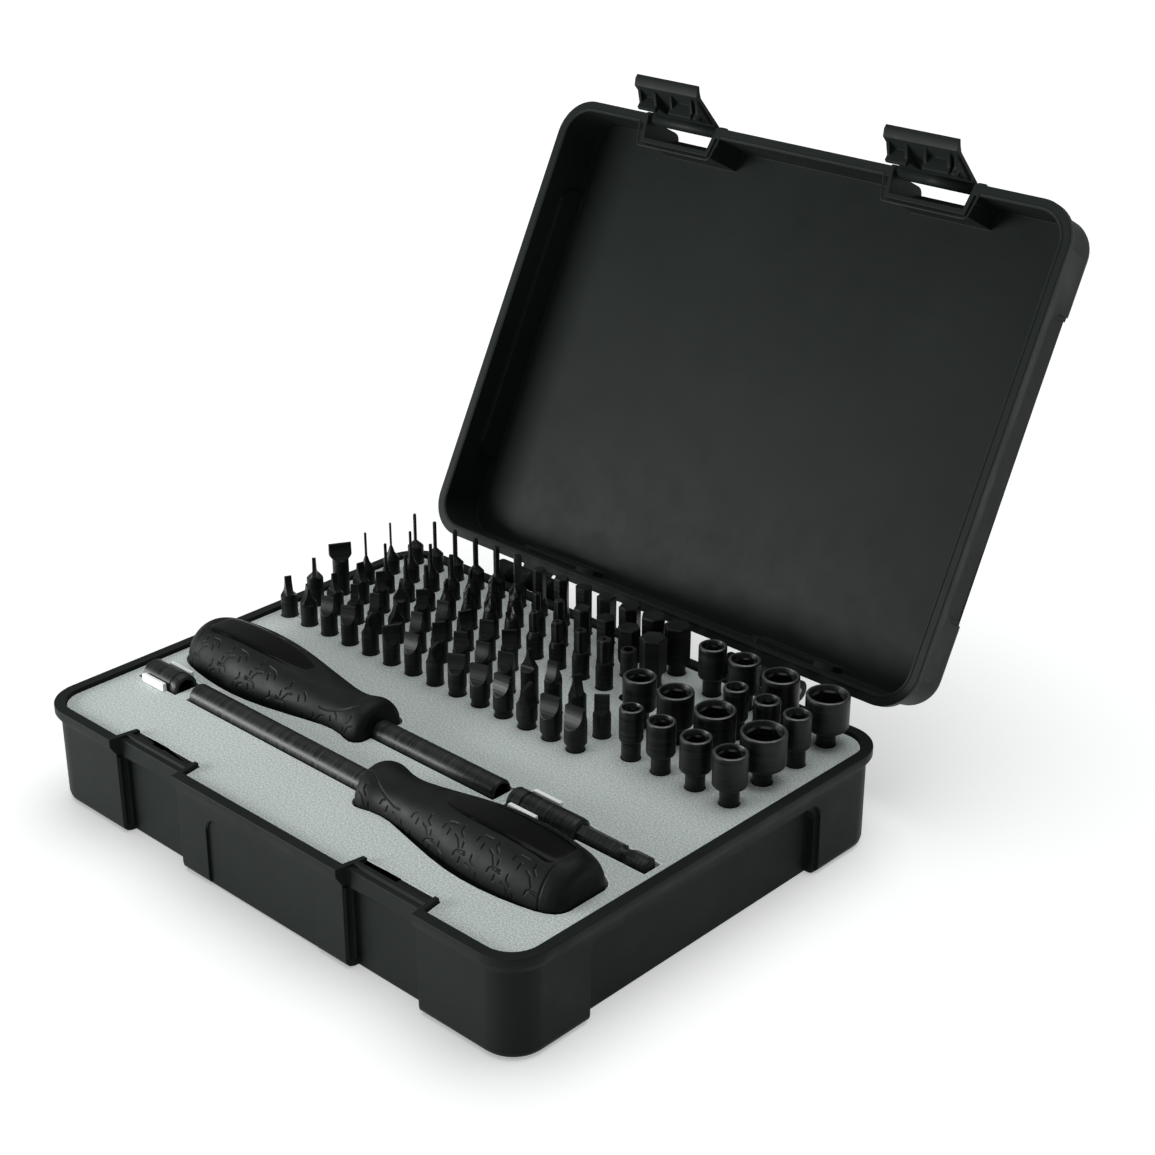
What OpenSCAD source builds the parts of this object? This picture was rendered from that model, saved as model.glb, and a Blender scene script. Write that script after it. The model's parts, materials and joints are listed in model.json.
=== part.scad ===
// Driver and socket set in a hinged carrying case.
// The case stands open. Origin: centre of the base's underside.
// +X runs along the latch side, +Y points to the hinges, +Z is up.

/* [Case] */
// Width of the case along its latch side
case_w = 260; // [255:1:320]
// Depth of the case from its latch side to its hinge side
case_d = 200; // [198:1:250]
// Height of the base up to its rim
base_h = 41.5; // [36:0.5:55]
// Height of the lid above the rim of the base
lid_h = 24.5; // [24:0.5:40]
// Thickness of the moulded walls
wall = 2.2; // [1.8:0.1:2.8]
// Radius of the upright corners at the rim
corner_r = 16; // [12:0.5:24]
// Radius of the rounding round the underside of the base and the top of the lid
edge_r = 3.2; // [2:0.2:5]
// How far the rim lip stands out from the walls
lip_out = 2.3; // [1.5:0.1:3]
// Height of the upright band of the rim lip
lip_h = 3.4; // [2:0.2:5]
// Height over which the lip tapers back into the wall
lip_taper = 3.8; // [2:0.2:6]
// Gap between the rims of the lid and the base when shut
rim_gap = 0.35; // [0.3:0.05:0.6]
// Depth of the sunk panels in the sides and the back of the base
panel_depth = 5; // [3:0.5:6]
// Depth of the sunk panels in the lid
lid_panel = 2.3; // [2:0.1:2.6]
// Length of the sunk panel in each side
side_panel = 120; // [100:1:140]
// Angle from shut at which the lid stands
lid_open = 117.4; // [95:0.2:125]

/* [Latches and hinges] */
// Distance from the middle of the case to each latch and each hinge
latch_x = 64.3; // [58:0.1:75]
// Width of a latch
latch_w = 34.5; // [32:0.5:40]
// Length of a latch from its pivot to its finger lip
latch_len = 24; // [22:0.5:26]
// Angle from shut at which the latches stand
latch_open = 21; // [15:1:30]
// Side clearance between a latch and its notch
latch_gap = 1.5; // [1:0.05:2]
// Width of a hinge over its three knuckles
hinge_w = 36; // [28:1:38]
// Distance of the hinge axis behind the rim
hinge_back = 5.9; // [5.6:0.1:8]
// Height of the hinge axis above the rim of the base
hinge_up = 1.2; // [1:0.1:2]
// Radius of the hinge knuckles
knuckle_r = 4.4; // [3.8:0.1:4.6]
// Radius of the hinge pins and latch pins
pin_r = 1.3; // [1:0.1:1.5]

/* [Foam] */
// How far the foam insert lies below the rim
foam_drop = 1.5; // [1:0.1:4]
// Gap between the foam insert and the walls
foam_gap = 0.3; // [0.1:0.05:0.6]
// Clearance round a tool in its foam pocket
pocket_gap = 0.6; // [0.4:0.1:1]
// Extra width of the handle pockets for the fingers
finger_room = 2.6; // [1:0.2:3]

/* [Drivers] */
// Length of a driver handle
handle_len = 104; // [95:1:112]
// Largest radius of a driver handle
handle_r = 16.6; // [14:0.1:17.6]
// Diameter of the driver shafts
shaft_d = 10; // [8.5:0.1:12]
// Bare length of the long driver's shaft
long_shaft = 103; // [80:1:110]
// Bare length of the stubby driver's shaft
short_shaft = 65; // [40:1:80]
// Width across the flats of the hexagon drive
hex_af = 6.35; // [5.5:0.05:8]

/* [Bits] */
// Spacing of the bits along a row
bit_pitch = 12.7; // [12.2:0.1:13]
// Spacing of the rows of bits
row_pitch = 14.4; // [13.5:0.1:15]
// Diameter of the round body of a bit
bit_d = 7.2; // [6.4:0.1:8]
// How far a bit reaches down into the foam
bit_sunk = 7.5; // [6:0.5:8]

/* [Sockets] */
// Height of a socket above the foam
socket_h = 21; // [18:0.5:24]
// Length of the wide head of a socket
head_h = 14; // [11:0.5:16]
// Diameter of a socket's stem
stem_d = 7.6; // [6.4:0.1:8.4]

/* [Hidden] */
$fn = 64;
fit = 0.05;                                  // running clearance on a radius
SOCKETS = 15;

front = -case_d / 2;
back = case_d / 2;
wall_out = lip_out;                          // the walls stand this far inside the rim
inner_w = case_w - 2 * (lip_out + wall);
inner_d = case_d - 2 * (lip_out + wall);
foam_top = base_h - foam_drop;
panel_drop = lip_h + lip_taper + 4.5;        // a sunk panel starts this far from the rim
panel_r = 6;                                 // rounding of a sunk panel's corners
panel_step = 1.6;                            // depth of the shallow frame round a sunk panel
inset_w = 60;                                // arched inset in the middle of the front
inset_depth = 1.2;

notch_w = latch_w + 2 * latch_gap;           // latch notch, across its mouth
notch_slope = 0.16;                          // how fast each side of a notch closes in
notch_depth = 7.3;                           // from the rim's face to the back of a base notch
lid_notch_depth = 10.5;                      // and of a lid notch
shelf_depth = 12.8;                          // back edge of the catch shelf, behind the rim's face
shelf_front = 4.8;                           // its front edge, which the latch hooks under
shelf_h = 7.2;
shelf_drop = 1.2;                            // top of the catch shelf below the rim
slot_shift = 3.5;                            // slot in the catch shelf, left of its middle
slot_w = 6.5;
slot_d = 2.6;
rib_r = 1.25;                                // guide ribs up the sides of a notch
rib_out = 0.4;

pivot_y = front + lip_out - 0.8;             // latch pivot
pivot_z = base_h + 4;
latch_knuckle = 2.6;
plate_t = 1.8;
hook_top = shelf_drop + shelf_h + 0.35;      // hook face below the rim, when shut
hook_reach = 1.3;                            // how far the hook runs under the shelf
hook_t = 1.7;
ear_hold = 2.0;                              // how far a latch pin runs into each side wall
ear_t = 2.8;
hook_side = 0.8;                             // the hooks and their ribs stop this far inside a latch's sides

hinge_y = back + hinge_back;
hinge_z = base_h + hinge_up;
middle_knuckle = hinge_w / 3;
knuckle_gap = 0.4;

shaft_r = shaft_d / 2;
hex_r = hex_af / 2 / cos(30);
socket_drive = hex_r + 0.15;                 // hexagon hole that takes a bit
hole_depth = 10;
magnet_r = 2.4;
magnet_h = 3;
shank_in = 30;                               // how far a shaft runs into its handle
inlay_t = 1.4;

tool_z = foam_top;                           // tool axes lie at the top of the foam
long_y = front + 46.6;
stubby_y = long_y + 29.3;
long_x = case_w / 2 - lip_out - wall - 8 - handle_len;   // collar face, handle to the right
stubby_x = -case_w / 2 + lip_out + wall + 5.5 + handle_len; // collar face, handle to the left
adapter_r = 5.5;
adapter_len = 22;
short_adapter_x = long_x - long_shaft - 7.5; // open end of the short adapter
long_adapter_x = stubby_x + short_shaft + 6.5;
long_adapter_r = 5.2;
long_body = 33;
shank_len = 32;
clip_t = 2.2;
clip_gap = 0.25;
clip_up = 3;
clip_len = 13.5;

bit_x = -case_w / 2 + lip_out + wall + 6.6;  // first bit of each row
row_6_y = back - lip_out - wall - 6.2;
hole_gap = 0.1;
root_in = 2;                                 // how far the round part of a bit reaches into the foam
socket_x = case_w / 2 - lip_out - wall - 13;
socket_y = row_6_y - 4.8;

// rows of a bit table: [column, row, blade width, blade thickness, height, turn, body diameter]
function column(i) = bit_x + i * bit_pitch;
function row(i) = row_6_y - (6 - i) * row_pitch;

FLAT_1 = [
    [2.9, 0.9, 17.5, 65, 7.2], [5.4, 1.0, 17, 150, 7.2], [5.6, 1.0, 16.5, 20, 7.2], [6.2, 1.1, 16.5, 25, 7.2],
    [6.4, 1.1, 16.5, 120, 7.2], [6.8, 1.2, 16.5, 60, 7.2], [6.6, 1.3, 17, 12, 7.2], [6.8, 1.3, 16.5, 110, 7.2],
    [7, 1.4, 17, 30, 7.6], [7.6, 1.5, 17, 18, 8.2], [7.8, 1.6, 17, 5, 8.2], [8, 1.7, 17, 110, 8.4],
    [8.4, 1.8, 17.5, 12, 8.8], [8.8, 2.0, 17.5, 4, 9]];
FLAT_2 = [
    [1.6, 0.7, 21, 45, 7.2], [2.4, 0.8, 18, 75, 7.2], [3.2, 0.8, 17, 40, 7.2], [4, 0.9, 17, 30, 7.2],
    [4.6, 0.9, 17, 150, 7.2], [5, 1.0, 17, 20, 7.2], [5.4, 1.0, 17, 60, 7.2], [5.6, 1.1, 17, 35, 7.2],
    [6, 1.2, 17, 15, 7.2], [6.4, 1.2, 17, 25, 7.2], [2.6, 0.9, 23, 100, 7.2], [4.4, 1.2, 22, 10, 7.2],
    [3.4, 1.2, 21, 65, 7.2], [5.8, 1.6, 17, 40, 7.2]];
FLAT_3 = [
    [9.6, 1.1, 23, 60, 7.2], [3.2, 0.8, 18, 80, 7.2], [3.8, 0.9, 18, 60, 7.2], [4.4, 0.9, 18, 130, 7.2],
    [4.8, 1.0, 18, 50, 7.2], [5.2, 1.0, 17, 20, 7.2], [5.6, 1.1, 17, 70, 7.2], [5.8, 1.1, 17, 30, 7.2],
    [6, 1.2, 17, 45, 7.2]];
// rows 4 and 5: needle bits, then cross, star and hexagon bits: [column, row, tip, height]
NEEDLES = [
    [1, 4, 1.1, 23.2], [2, 4, 1.3, 22], [3, 4, 1.6, 21], [4, 4, 2.0, 20],
    [1, 5, 1.0, 23.2], [2, 5, 1.2, 23], [3, 5, 1.5, 21], [4, 5, 1.9, 20]];
CROSSES = [
    [5, 4, 2.2, 18], [6, 4, 2.8, 18], [7, 4, 3.4, 18], [8, 4, 4.2, 18],
    [5, 5, 2.2, 18], [6, 5, 2.8, 18], [7, 5, 3.6, 18]];
STARS = [[8, 5, 3.3, 19], [9, 5, 4.4, 20]];
PINNED = [[9, 4, 4.0, 20], [10, 4, 4.8, 20], [11, 4, 5.6, 20.5], [12, 4, 6.4, 21]];
LARGE_HEX = [[10, 5, 6.4, 21], [11, 5, 7.2, 21], [12, 5, 8.2, 21], [13, 5, 9.6, 21]];
HEX_KEYS = [1.3, 1.6, 1.8, 2.0, 2.5, 3.2, 4.8, 5.6, 6.6, 7.1, 7.9, 9.0, 9.6];
// sockets: [distance from the right-hand column, distance in front of the back row, diameter, hexagon]
SOCKET_ROWS = [
    [47.2, 57.6, 9.2, 5.0], [32.6, 57.6, 11, 6.4], [16, 57.6, 12, 7.2], [0, 57.6, 13, 8.2],
    [0.8, 38, 17.4, 11.6], [0, 19.6, 10.8, 6.0], [1, 0, 16.8, 11.2], [24, 37.6, 15.8, 10.4],
    [43.6, 37, 14.2, 9.2], [61.4, 37, 13, 8.2], [14.8, 18.8, 10.4, 5.6], [29.6, 18.8, 9.7, 5.2],
    [57.6, -1, 11.2, 6.4], [41.4, -0.6, 12.7, 7.8], [23, 0.4, 14.7, 9.6]];

// ---- shared outlines -------------------------------------------------------

// rounded rectangle with its middle at the origin
module plan(w, d, r) {
    square([w - 2 * r, d], center = true);
    square([w, d - 2 * r], center = true);
    for (x = [-1, 1], y = [-1, 1]) translate([x * (w / 2 - r), y * (d / 2 - r)]) circle(r);
}

// side of a half case of height h, as points [distance inside the rim, height]
function case_side(h) = concat(
    [for (a = [0, 30, 60, 90]) [wall_out + edge_r * (1 - sin(a)), edge_r * (1 - cos(a))]],
    [[wall_out, h - lip_h - lip_taper], [0, h - lip_h], [0, h]]);

// closed outline across a half case whose rim is w wide
function across(side, w) = concat(
    [for (p = side) [w / 2 - p[0], p[1]]],
    [for (i = [len(side) - 1:-1:0]) [side[i][0] - w / 2, side[i][1]]]);

// outer shape of a half case of height h with its rim at the top
module half_case(h) {
    side = case_side(h);
    sx = case_w / 2 - corner_r;
    sy = case_d / 2 - corner_r;
    for (x = [-1, 1], y = [-1, 1]) translate([x * sx, y * sy, 0]) rotate_extrude()
        polygon(concat([[0, 0]], [for (p = side) [corner_r - p[0], p[1]]], [[0, h]]));
    rotate([90, 0, 90]) translate([0, 0, -sx]) linear_extrude(2 * sx) polygon(across(side, case_d));
    rotate([90, 0, 0]) translate([0, 0, -sy]) linear_extrude(2 * sy) polygon(across(side, case_w));
}

// sunk panel: an arched opening of width w reaching from z = 0 up to height h, cut depth deep into +Y
module panel(w, h, depth) {
    rotate([90, 0, 180]) translate([0, 0, -1]) linear_extrude(depth + 1) {
        translate([-w / 2, -1]) square([w, h - panel_r + 1]);
        translate([-w / 2 + panel_r, 0]) square([w - 2 * panel_r, h]);
        for (x = [-1, 1]) translate([x * (w / 2 - panel_r), h - panel_r]) circle(panel_r);
    }
}

// all the sunk panels of a half case, grown by the wall when the inside is cut
module panels(h, depth, grow) {
    top = h - panel_drop + grow;
    for (x = [-1, 1]) translate([x * (case_w / 2 - wall_out), 0, 0]) rotate([0, 0, x * 90]) {
        panel(side_panel + 2 * grow, top, depth + grow);
        if (grow == 0) panel(side_panel + 2 * panel_step, top + panel_step, panel_step);
    }
    for (x = [-1, 1]) translate([x * latch_x, back - wall_out, 0]) rotate([0, 0, 180])
        panel(hinge_w + 2 * grow, top, depth + grow);
}

// plan of a latch notch of the given depth, grown by the wall when the inside is cut
module notch_plan(depth, grow) {
    w0 = notch_w / 2 + grow;
    w1 = w0 - notch_slope * depth;
    polygon([[-w0 - notch_slope, -1], [w0 + notch_slope, -1], [w1, depth], [-w1, depth]]);
}

module notches(z0, z1, depth, grow) {
    for (x = [-1, 1]) translate([x * latch_x, front, z0]) linear_extrude(z1 - z0) notch_plan(depth + grow, grow);
}

// inside of a half case, from the floor to past the rim
module hollow(h, depth, notch) {
    difference() {
        translate([0, 0, wall]) linear_extrude(h) plan(inner_w, inner_d, corner_r - lip_out - wall);
        panels(h, depth, wall);
        notches(0, h + wall + 1, notch, wall);
    }
}

// the hinges: three knuckles on a pin, the middle one on the lid
module knuckle_row(shift, w) {
    translate([shift - w / 2, hinge_y, hinge_z]) rotate([0, 90, 0]) children();
}

// ---- base ------------------------------------------------------------------

module base_shell() color([0.17, 0.185, 0.18]) {
    end_w = (hinge_w - middle_knuckle) / 2 - knuckle_gap;
    shelf_top = base_h - shelf_drop;
    difference() {
        union() {
            difference() {
                half_case(base_h);
                hollow(base_h, panel_depth, notch_depth);
                panels(base_h, panel_depth, 0);
                notches(-1, base_h + 1, notch_depth, 0);
                translate([0, front + wall_out, 0]) panel(inset_w, base_h - panel_drop, inset_depth);
            }
            for (x = [-1, 1]) translate([x * latch_x, 0, 0]) {
                catch_shelf(shelf_top);
                guide_ribs(shelf_top - shelf_h);
                for (side = [-1, 1])
                    hinge_arm(side * (middle_knuckle / 2 + knuckle_gap + end_w / 2), end_w);
            }
        }
        for (x = [-1, 1]) {
            knuckle_row(x * latch_x, hinge_w + 2) cylinder(h = hinge_w + 2, r = pin_r);
            translate([x * latch_x - slot_shift - slot_w / 2, front + 10, shelf_top - 3])
                cube([slot_w, slot_d, 4]);
        }
    }
}

// shelf across a notch that the latch hooks under, between the notch's side walls
module catch_shelf(top) {
    translate([0, front, top - shelf_h]) linear_extrude(shelf_h) difference() {
        notch_plan(shelf_depth, wall - 0.4);
        translate([-notch_w, -2]) square([2 * notch_w, shelf_front + 2]);
    }
    translate([0, front, top - shelf_h]) linear_extrude(base_h - top + shelf_h) difference() {
        notch_plan(shelf_depth, wall);
        notch_plan(shelf_depth + 1, 0);
        translate([-notch_w, -2]) square([2 * notch_w, shelf_front + 2]);
    }
}

// upright half-round ribs on the side walls of a notch
module guide_ribs(top) {
    for (side = [-1, 1], y = [wall_out + 1.4, wall_out + 4.4])
        translate([side * (notch_w / 2 - notch_slope * y + rib_r - rib_out), front + y, edge_r])
            cylinder(h = top - edge_r, r = rib_r);
}

// end knuckle and the arm that carries it from the back wall
module hinge_arm(shift, w) {
    knuckle_row(shift, w) cylinder(h = w, r = knuckle_r);
    translate([shift - w / 2, 0, 0]) rotate([90, 0, 90]) linear_extrude(w)
        polygon([[back - 1, base_h - 1.4], [hinge_y - 1.5, base_h - 1.4], [hinge_y, hinge_z - 2],
                 [hinge_y, hinge_z - knuckle_r + 0.6], [back - wall_out - 0.5, base_h - lip_h - lip_taper - 4],
                 [back - wall_out - 0.5, base_h - lip_h]]);
}

module hinge_pin(x) color("silver")
    translate([x * latch_x, 0, 0]) knuckle_row(0, hinge_w) cylinder(h = hinge_w, r = pin_r);

module hinge_pin_left() hinge_pin(-1);
module hinge_pin_right() hinge_pin(1);

// ---- lid, modelled shut and then swung open ---------------------------------

module swing_open() {
    translate([0, hinge_y, hinge_z]) rotate([-lid_open, 0, 0]) translate([0, -hinge_y, -hinge_z]) children();
}

module lid_shut() {
    rim = base_h + rim_gap;
    top = base_h + lid_h;
    difference() {
        union() {
            translate([0, 0, top]) mirror([0, 0, 1]) difference() {
                half_case(top - rim);
                hollow(top - rim, lid_panel, lid_notch_depth);
                panels(top - rim, lid_panel, 0);
                notches(-1, lid_h + 1, lid_notch_depth, 0);
            }
            for (x = [-1, 1]) translate([x * latch_x, 0, 0]) {
                lid_knuckle(rim);
                latch_ears();
                notch_floor(top);
            }
        }
        for (x = [-1, 1]) {
            knuckle_row(x * latch_x, middle_knuckle + 2) cylinder(h = middle_knuckle + 2, r = pin_r + fit);
            latch_pin_hole(x);
        }
    }
}

// closes a notch of the lid in line with the lid's top
module notch_floor(top) {
    hold = 0.5;
    translate([0, front, top - wall]) linear_extrude(wall) intersection() {
        notch_plan(lid_notch_depth + hold, hold);
        translate([-notch_w, lip_out + edge_r]) square([2 * notch_w, notch_w]);
    }
}

// middle knuckle of a hinge and its arm on the lid
module lid_knuckle(rim) {
    w = middle_knuckle;
    knuckle_row(0, w) cylinder(h = w, r = knuckle_r);
    translate([-w / 2, 0, 0]) rotate([90, 0, 90]) linear_extrude(w)
        polygon([[back - 1, rim], [hinge_y - 1.5, rim], [hinge_y, hinge_z + 2],
                 [hinge_y, hinge_z + knuckle_r - 0.6], [back - wall_out - 0.5, rim + lip_h + lip_taper + 1],
                 [back - wall_out - 0.5, rim + lip_h]]);
}

// thickened sides of a notch that carry the latch pin
module latch_ears() {
    for (side = [-1, 1]) mirror([side < 0 ? 1 : 0, 0, 0])
        translate([notch_w / 2, pivot_y, pivot_z]) rotate([0, 90, 0]) {
            cylinder(h = ear_t, r = latch_knuckle);
            translate([-latch_knuckle, 0, 0]) cube([2 * latch_knuckle, 6, ear_t]);
        }
}

module latch_pin_hole(x) {
    w = notch_w + 2 * ear_hold;
    translate([x * latch_x - w / 2, pivot_y, pivot_z]) rotate([0, 90, 0]) cylinder(h = w, r = pin_r);
}

module lid_shell() color([0.17, 0.185, 0.18]) swing_open() lid_shut();

// ---- latches ----------------------------------------------------------------

// latch in its shut place, with its pivot axis through the origin
module latch_body() {
    side = plate_t - latch_knuckle;           // inner face of the plate
    hook_z = pivot_z - base_h + hook_top;     // hook face below the pivot
    reach = front + shelf_front + hook_reach - pivot_y;
    translate([-latch_w / 2, 0, 0]) rotate([90, 0, 90]) linear_extrude(latch_w) {
        circle(latch_knuckle);
        polygon([[-latch_knuckle, 0], [side, 0], [side, 2 - latch_len], [side - 2.4, -latch_len],
                 [-latch_knuckle - 2.6, -latch_len - 0.3], [-latch_knuckle - 1, 2.2 - latch_len],
                 [-latch_knuckle, 4.5 - latch_len]]);
    }
    for (span = [[hook_side - latch_w / 2, 10], [0.8, 12.4], [latch_w / 2 - hook_side - 2.2, 2.2]])
        translate([span[0], 0, 0]) rotate([90, 0, 90]) linear_extrude(span[1])
            polygon([[side - 0.5, -hook_z], [reach, -hook_z], [reach, -hook_z - hook_t],
                     [side - 0.5, -hook_z - hook_t - 1]]);
    for (x = [hook_side - latch_w / 2, hook_side - latch_w / 2 + 8.5, 0.8, 11.7, latch_w / 2 - hook_side - 1.5])
        translate([x, 0, 0]) rotate([90, 0, 90]) linear_extrude(1.5)
            polygon([[side - 0.5, -latch_knuckle], [1.4, -hook_z + 4], [2.2, -hook_z - 0.5],
                     [reach - 1.4, -hook_z - 0.6], [side - 0.5, 2.5 - latch_len]]);
}

module latch(x) color([0.15, 0.165, 0.16])
    swing_open() translate([x * latch_x, pivot_y, pivot_z]) rotate([-latch_open, 0, 0]) difference() {
        latch_body();
        rotate([0, 90, 0]) cylinder(h = latch_w + 2, r = pin_r + fit, center = true);
    }

module latch_left() latch(-1);
module latch_right() latch(1);

module latch_pin(x) color("silver") swing_open() latch_pin_hole(x);

module latch_pin_left() latch_pin(-1);
module latch_pin_right() latch_pin(1);

// ---- drivers ----------------------------------------------------------------

// handle outline: [distance from the collar face as a share of the length, radius as a share of the largest]
HANDLE = [
    [0, 0.56], [0.008, 0.64], [0.02, 0.71], [0.04, 0.75], [0.065, 0.73], [0.10, 0.665], [0.15, 0.632],
    [0.20, 0.643], [0.27, 0.70], [0.36, 0.785], [0.45, 0.875], [0.54, 0.95], [0.62, 0.988], [0.70, 1],
    [0.78, 0.985], [0.86, 0.945], [0.92, 0.895], [0.955, 0.83], [0.98, 0.74], [0.993, 0.63], [1, 0.48]];

// lays a driver along +X with its collar face at the origin
module along() { rotate([0, 90, 0]) rotate([0, 0, 90]) children(); }

// solid of the handle, smaller all round by skin
module handle_form(skin) {
    along() rotate_extrude() polygon(concat(
        [[0, skin]], [for (p = HANDLE) [p[1] * handle_r - skin, skin + p[0] * (handle_len - 2 * skin)]],
        [[0, handle_len - skin]]));
}

// upright prism over the rounded inlay on top of the handle
module inlay_prism() {
    x0 = 0.37 * handle_len;
    x1 = 0.93 * handle_len;
    half = 0.44 * handle_r;
    n = 24;
    edge = [for (i = [0:n]) let (t = i / n) [x0 + t * (x1 - x0), half * pow(sin(180 * pow(t, 0.8)), 0.55)]];
    linear_extrude(handle_r + 2)
        polygon(concat(edge, [for (i = [n - 1:-1:1]) [edge[i][0], -edge[i][1]]]));
}

module handle() {
    difference() {
        handle_form(0);
        difference() {
            inlay_prism();
            handle_form(inlay_t);
        }
        along() translate([0, 0, -1]) cylinder(h = shank_in + 1, r = shaft_r);
    }
}

module inlay() {
    intersection() {
        difference() {
            handle_form(0);
            handle_form(inlay_t);
        }
        inlay_prism();
    }
}

// shaft with its hexagon hole at the free end
module shaft(bare) {
    rotate([0, 0, 180]) along() difference() {
        union() {
            translate([0, 0, -shank_in]) cylinder(h = shank_in + bare - 0.8, r = shaft_r);
            translate([0, 0, bare - 0.8]) cylinder(h = 0.8, r1 = shaft_r, r2 = shaft_r - 0.8);
        }
        drive_hole(bare);
    }
}

// hexagon hole from the end at height top, with a round seat for the magnet below it
module drive_hole(top) {
    translate([0, 0, top - hole_depth]) cylinder(h = hole_depth + 1, r = socket_drive, $fn = 6);
    translate([0, 0, top - hole_depth - magnet_h]) cylinder(h = magnet_h + 0.01, r = magnet_r);
    translate([0, 0, top - 0.6]) cylinder(h = 0.61, r1 = socket_drive - 0.2, r2 = socket_drive + 0.4);
}

module magnet(bare) {
    rotate([0, 0, 180]) along() translate([0, 0, bare - hole_depth - magnet_h]) cylinder(h = magnet_h, r = magnet_r);
}

// the long driver's handle lies to the right, the stubby driver's to the left
module at_long() { translate([long_x, long_y, tool_z]) children(); }
module at_stubby() { translate([stubby_x, stubby_y, tool_z]) rotate([0, 0, 180]) children(); }

module long_driver_handle() color([0.16, 0.165, 0.165]) at_long() handle();
module long_driver_inlay() color([0.03, 0.03, 0.03]) at_long() inlay();
module long_driver_shaft() color([0.2, 0.21, 0.21]) at_long() shaft(long_shaft);
module long_driver_magnet() color("silver") at_long() magnet(long_shaft);
module stubby_driver_handle() color([0.16, 0.165, 0.165]) at_stubby() handle();
module stubby_driver_inlay() color([0.03, 0.03, 0.03]) at_stubby() inlay();
module stubby_driver_shaft() color([0.2, 0.21, 0.21]) at_stubby() shaft(short_shaft);
module stubby_driver_magnet() color("silver") at_stubby() magnet(short_shaft);

// ---- adapters and their clips -------------------------------------------------

// the short adapter opens to the right
module at_short_adapter() { translate([short_adapter_x, long_y, tool_z]) children(); }
module at_long_adapter() { translate([long_adapter_x, stubby_y, tool_z]) children(); }

module short_adapter() color([0.14, 0.145, 0.145]) at_short_adapter() along() difference() {
    union() {
        translate([0, 0, -adapter_len + 1.2]) cylinder(h = adapter_len - 2, r = adapter_r);
        translate([0, 0, -adapter_len]) cylinder(h = 1.2, r1 = adapter_r - 1.2, r2 = adapter_r);
        translate([0, 0, -0.8]) cylinder(h = 0.8, r1 = adapter_r, r2 = adapter_r - 0.8);
    }
    drive_hole(0);
}

module short_adapter_magnet() color("silver") at_short_adapter() along()
    translate([0, 0, -hole_depth - magnet_h]) cylinder(h = magnet_h, r = magnet_r);

// the long adapter opens to the left and ends in a hexagon shank with a groove
module long_adapter() color([0.14, 0.145, 0.145]) at_long_adapter() along() difference() {
    union() {
        cylinder(h = 0.8, r1 = long_adapter_r - 0.8, r2 = long_adapter_r);
        translate([0, 0, 0.8]) cylinder(h = long_body - 2, r = long_adapter_r);
        translate([0, 0, long_body - 1.2]) cylinder(h = 1.2, r1 = long_adapter_r, r2 = long_adapter_r - 1.2);
        intersection() {
            translate([0, 0, long_body - 1]) cylinder(h = shank_len + 1, r = hex_r, $fn = 6);
            union() {
                translate([0, 0, long_body - 1]) cylinder(h = shank_len - 0.2, r = hex_r + 1);
                translate([0, 0, long_body + shank_len - 1.2]) cylinder(h = 1.2, r1 = hex_r, r2 = hex_r - 1.2);
            }
        }
    }
    translate([0, 0, long_body + shank_len - 13]) shank_groove();
    mirror([0, 0, 1]) drive_hole(0);
}

// ring cut that a quick-change chuck holds
module shank_groove() {
    difference() {
        cylinder(h = 4.4, r = hex_r + 1);
        translate([0, 0, -0.01]) cylinder(h = 1.21, r1 = hex_r + 0.1, r2 = 2.6);
        cylinder(h = 4.4, r = 2.6);
        translate([0, 0, 3.2]) cylinder(h = 1.21, r1 = 2.6, r2 = hex_r + 0.1);
    }
}

module long_adapter_magnet() color("silver") at_long_adapter() along()
    translate([0, 0, hole_depth]) cylinder(h = magnet_h, r = magnet_r);

// sprung U that grips an adapter, open at the top
module clip(r) {
    outer = r + clip_t;
    inner = r + clip_gap;
    difference() {
        translate([0, -outer, -outer]) cube([clip_len, 2 * outer, outer + clip_up]);
        along() translate([0, 0, -1]) cylinder(h = clip_len + 2, r = inner);
        translate([-1, -inner, 0]) cube([clip_len + 2, 2 * inner, clip_up + 1]);
    }
}

module short_adapter_clip() color([0.86, 0.88, 0.87])
    at_short_adapter() translate([-5 - clip_len, 0, 0]) clip(adapter_r);
module long_adapter_clip() color([0.86, 0.88, 0.87])
    at_long_adapter() translate([3.5, 0, 0]) clip(long_adapter_r);

// ---- foam ---------------------------------------------------------------------

module foam_insert() color([0.64, 0.68, 0.66]) difference() {
    foam_block();
    at_long() driver_pocket(long_shaft);
    at_stubby() driver_pocket(short_shaft);
    at_short_adapter() translate([-adapter_len - 1.2, 0, 0]) along()
        cylinder(h = adapter_len + 1.8, r = adapter_r + pocket_gap);
    at_long_adapter() translate([-0.8, 0, 0]) along() cylinder(h = long_body + 1.6, r = long_adapter_r + pocket_gap);
    at_long_adapter() along() cylinder(h = long_body + shank_len + 0.8, r = hex_r + pocket_gap);
    at_short_adapter() translate([-5 - clip_len, 0, 0]) clip_seat(adapter_r);
    at_long_adapter() translate([3.5, 0, 0]) clip_seat(long_adapter_r);
    bit_holes();
    for (s = SOCKET_ROWS) translate([socket_x - s[0], socket_y - s[1], foam_top - bit_sunk])
        cylinder(h = bit_sunk + 1, r = stem_d / 2 + hole_gap);
}

// the block itself, standing on the floor and clear of the walls
module foam_block() {
    lift = wall + foam_gap;
    difference() {
        translate([0, 0, lift]) linear_extrude(foam_top - lift)
            plan(inner_w - 2 * foam_gap, inner_d - 2 * foam_gap, corner_r - lip_out - wall - foam_gap);
        panels(base_h, panel_depth, wall + foam_gap);
        notches(0, base_h, shelf_depth - wall, wall + foam_gap);
    }
}

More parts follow.
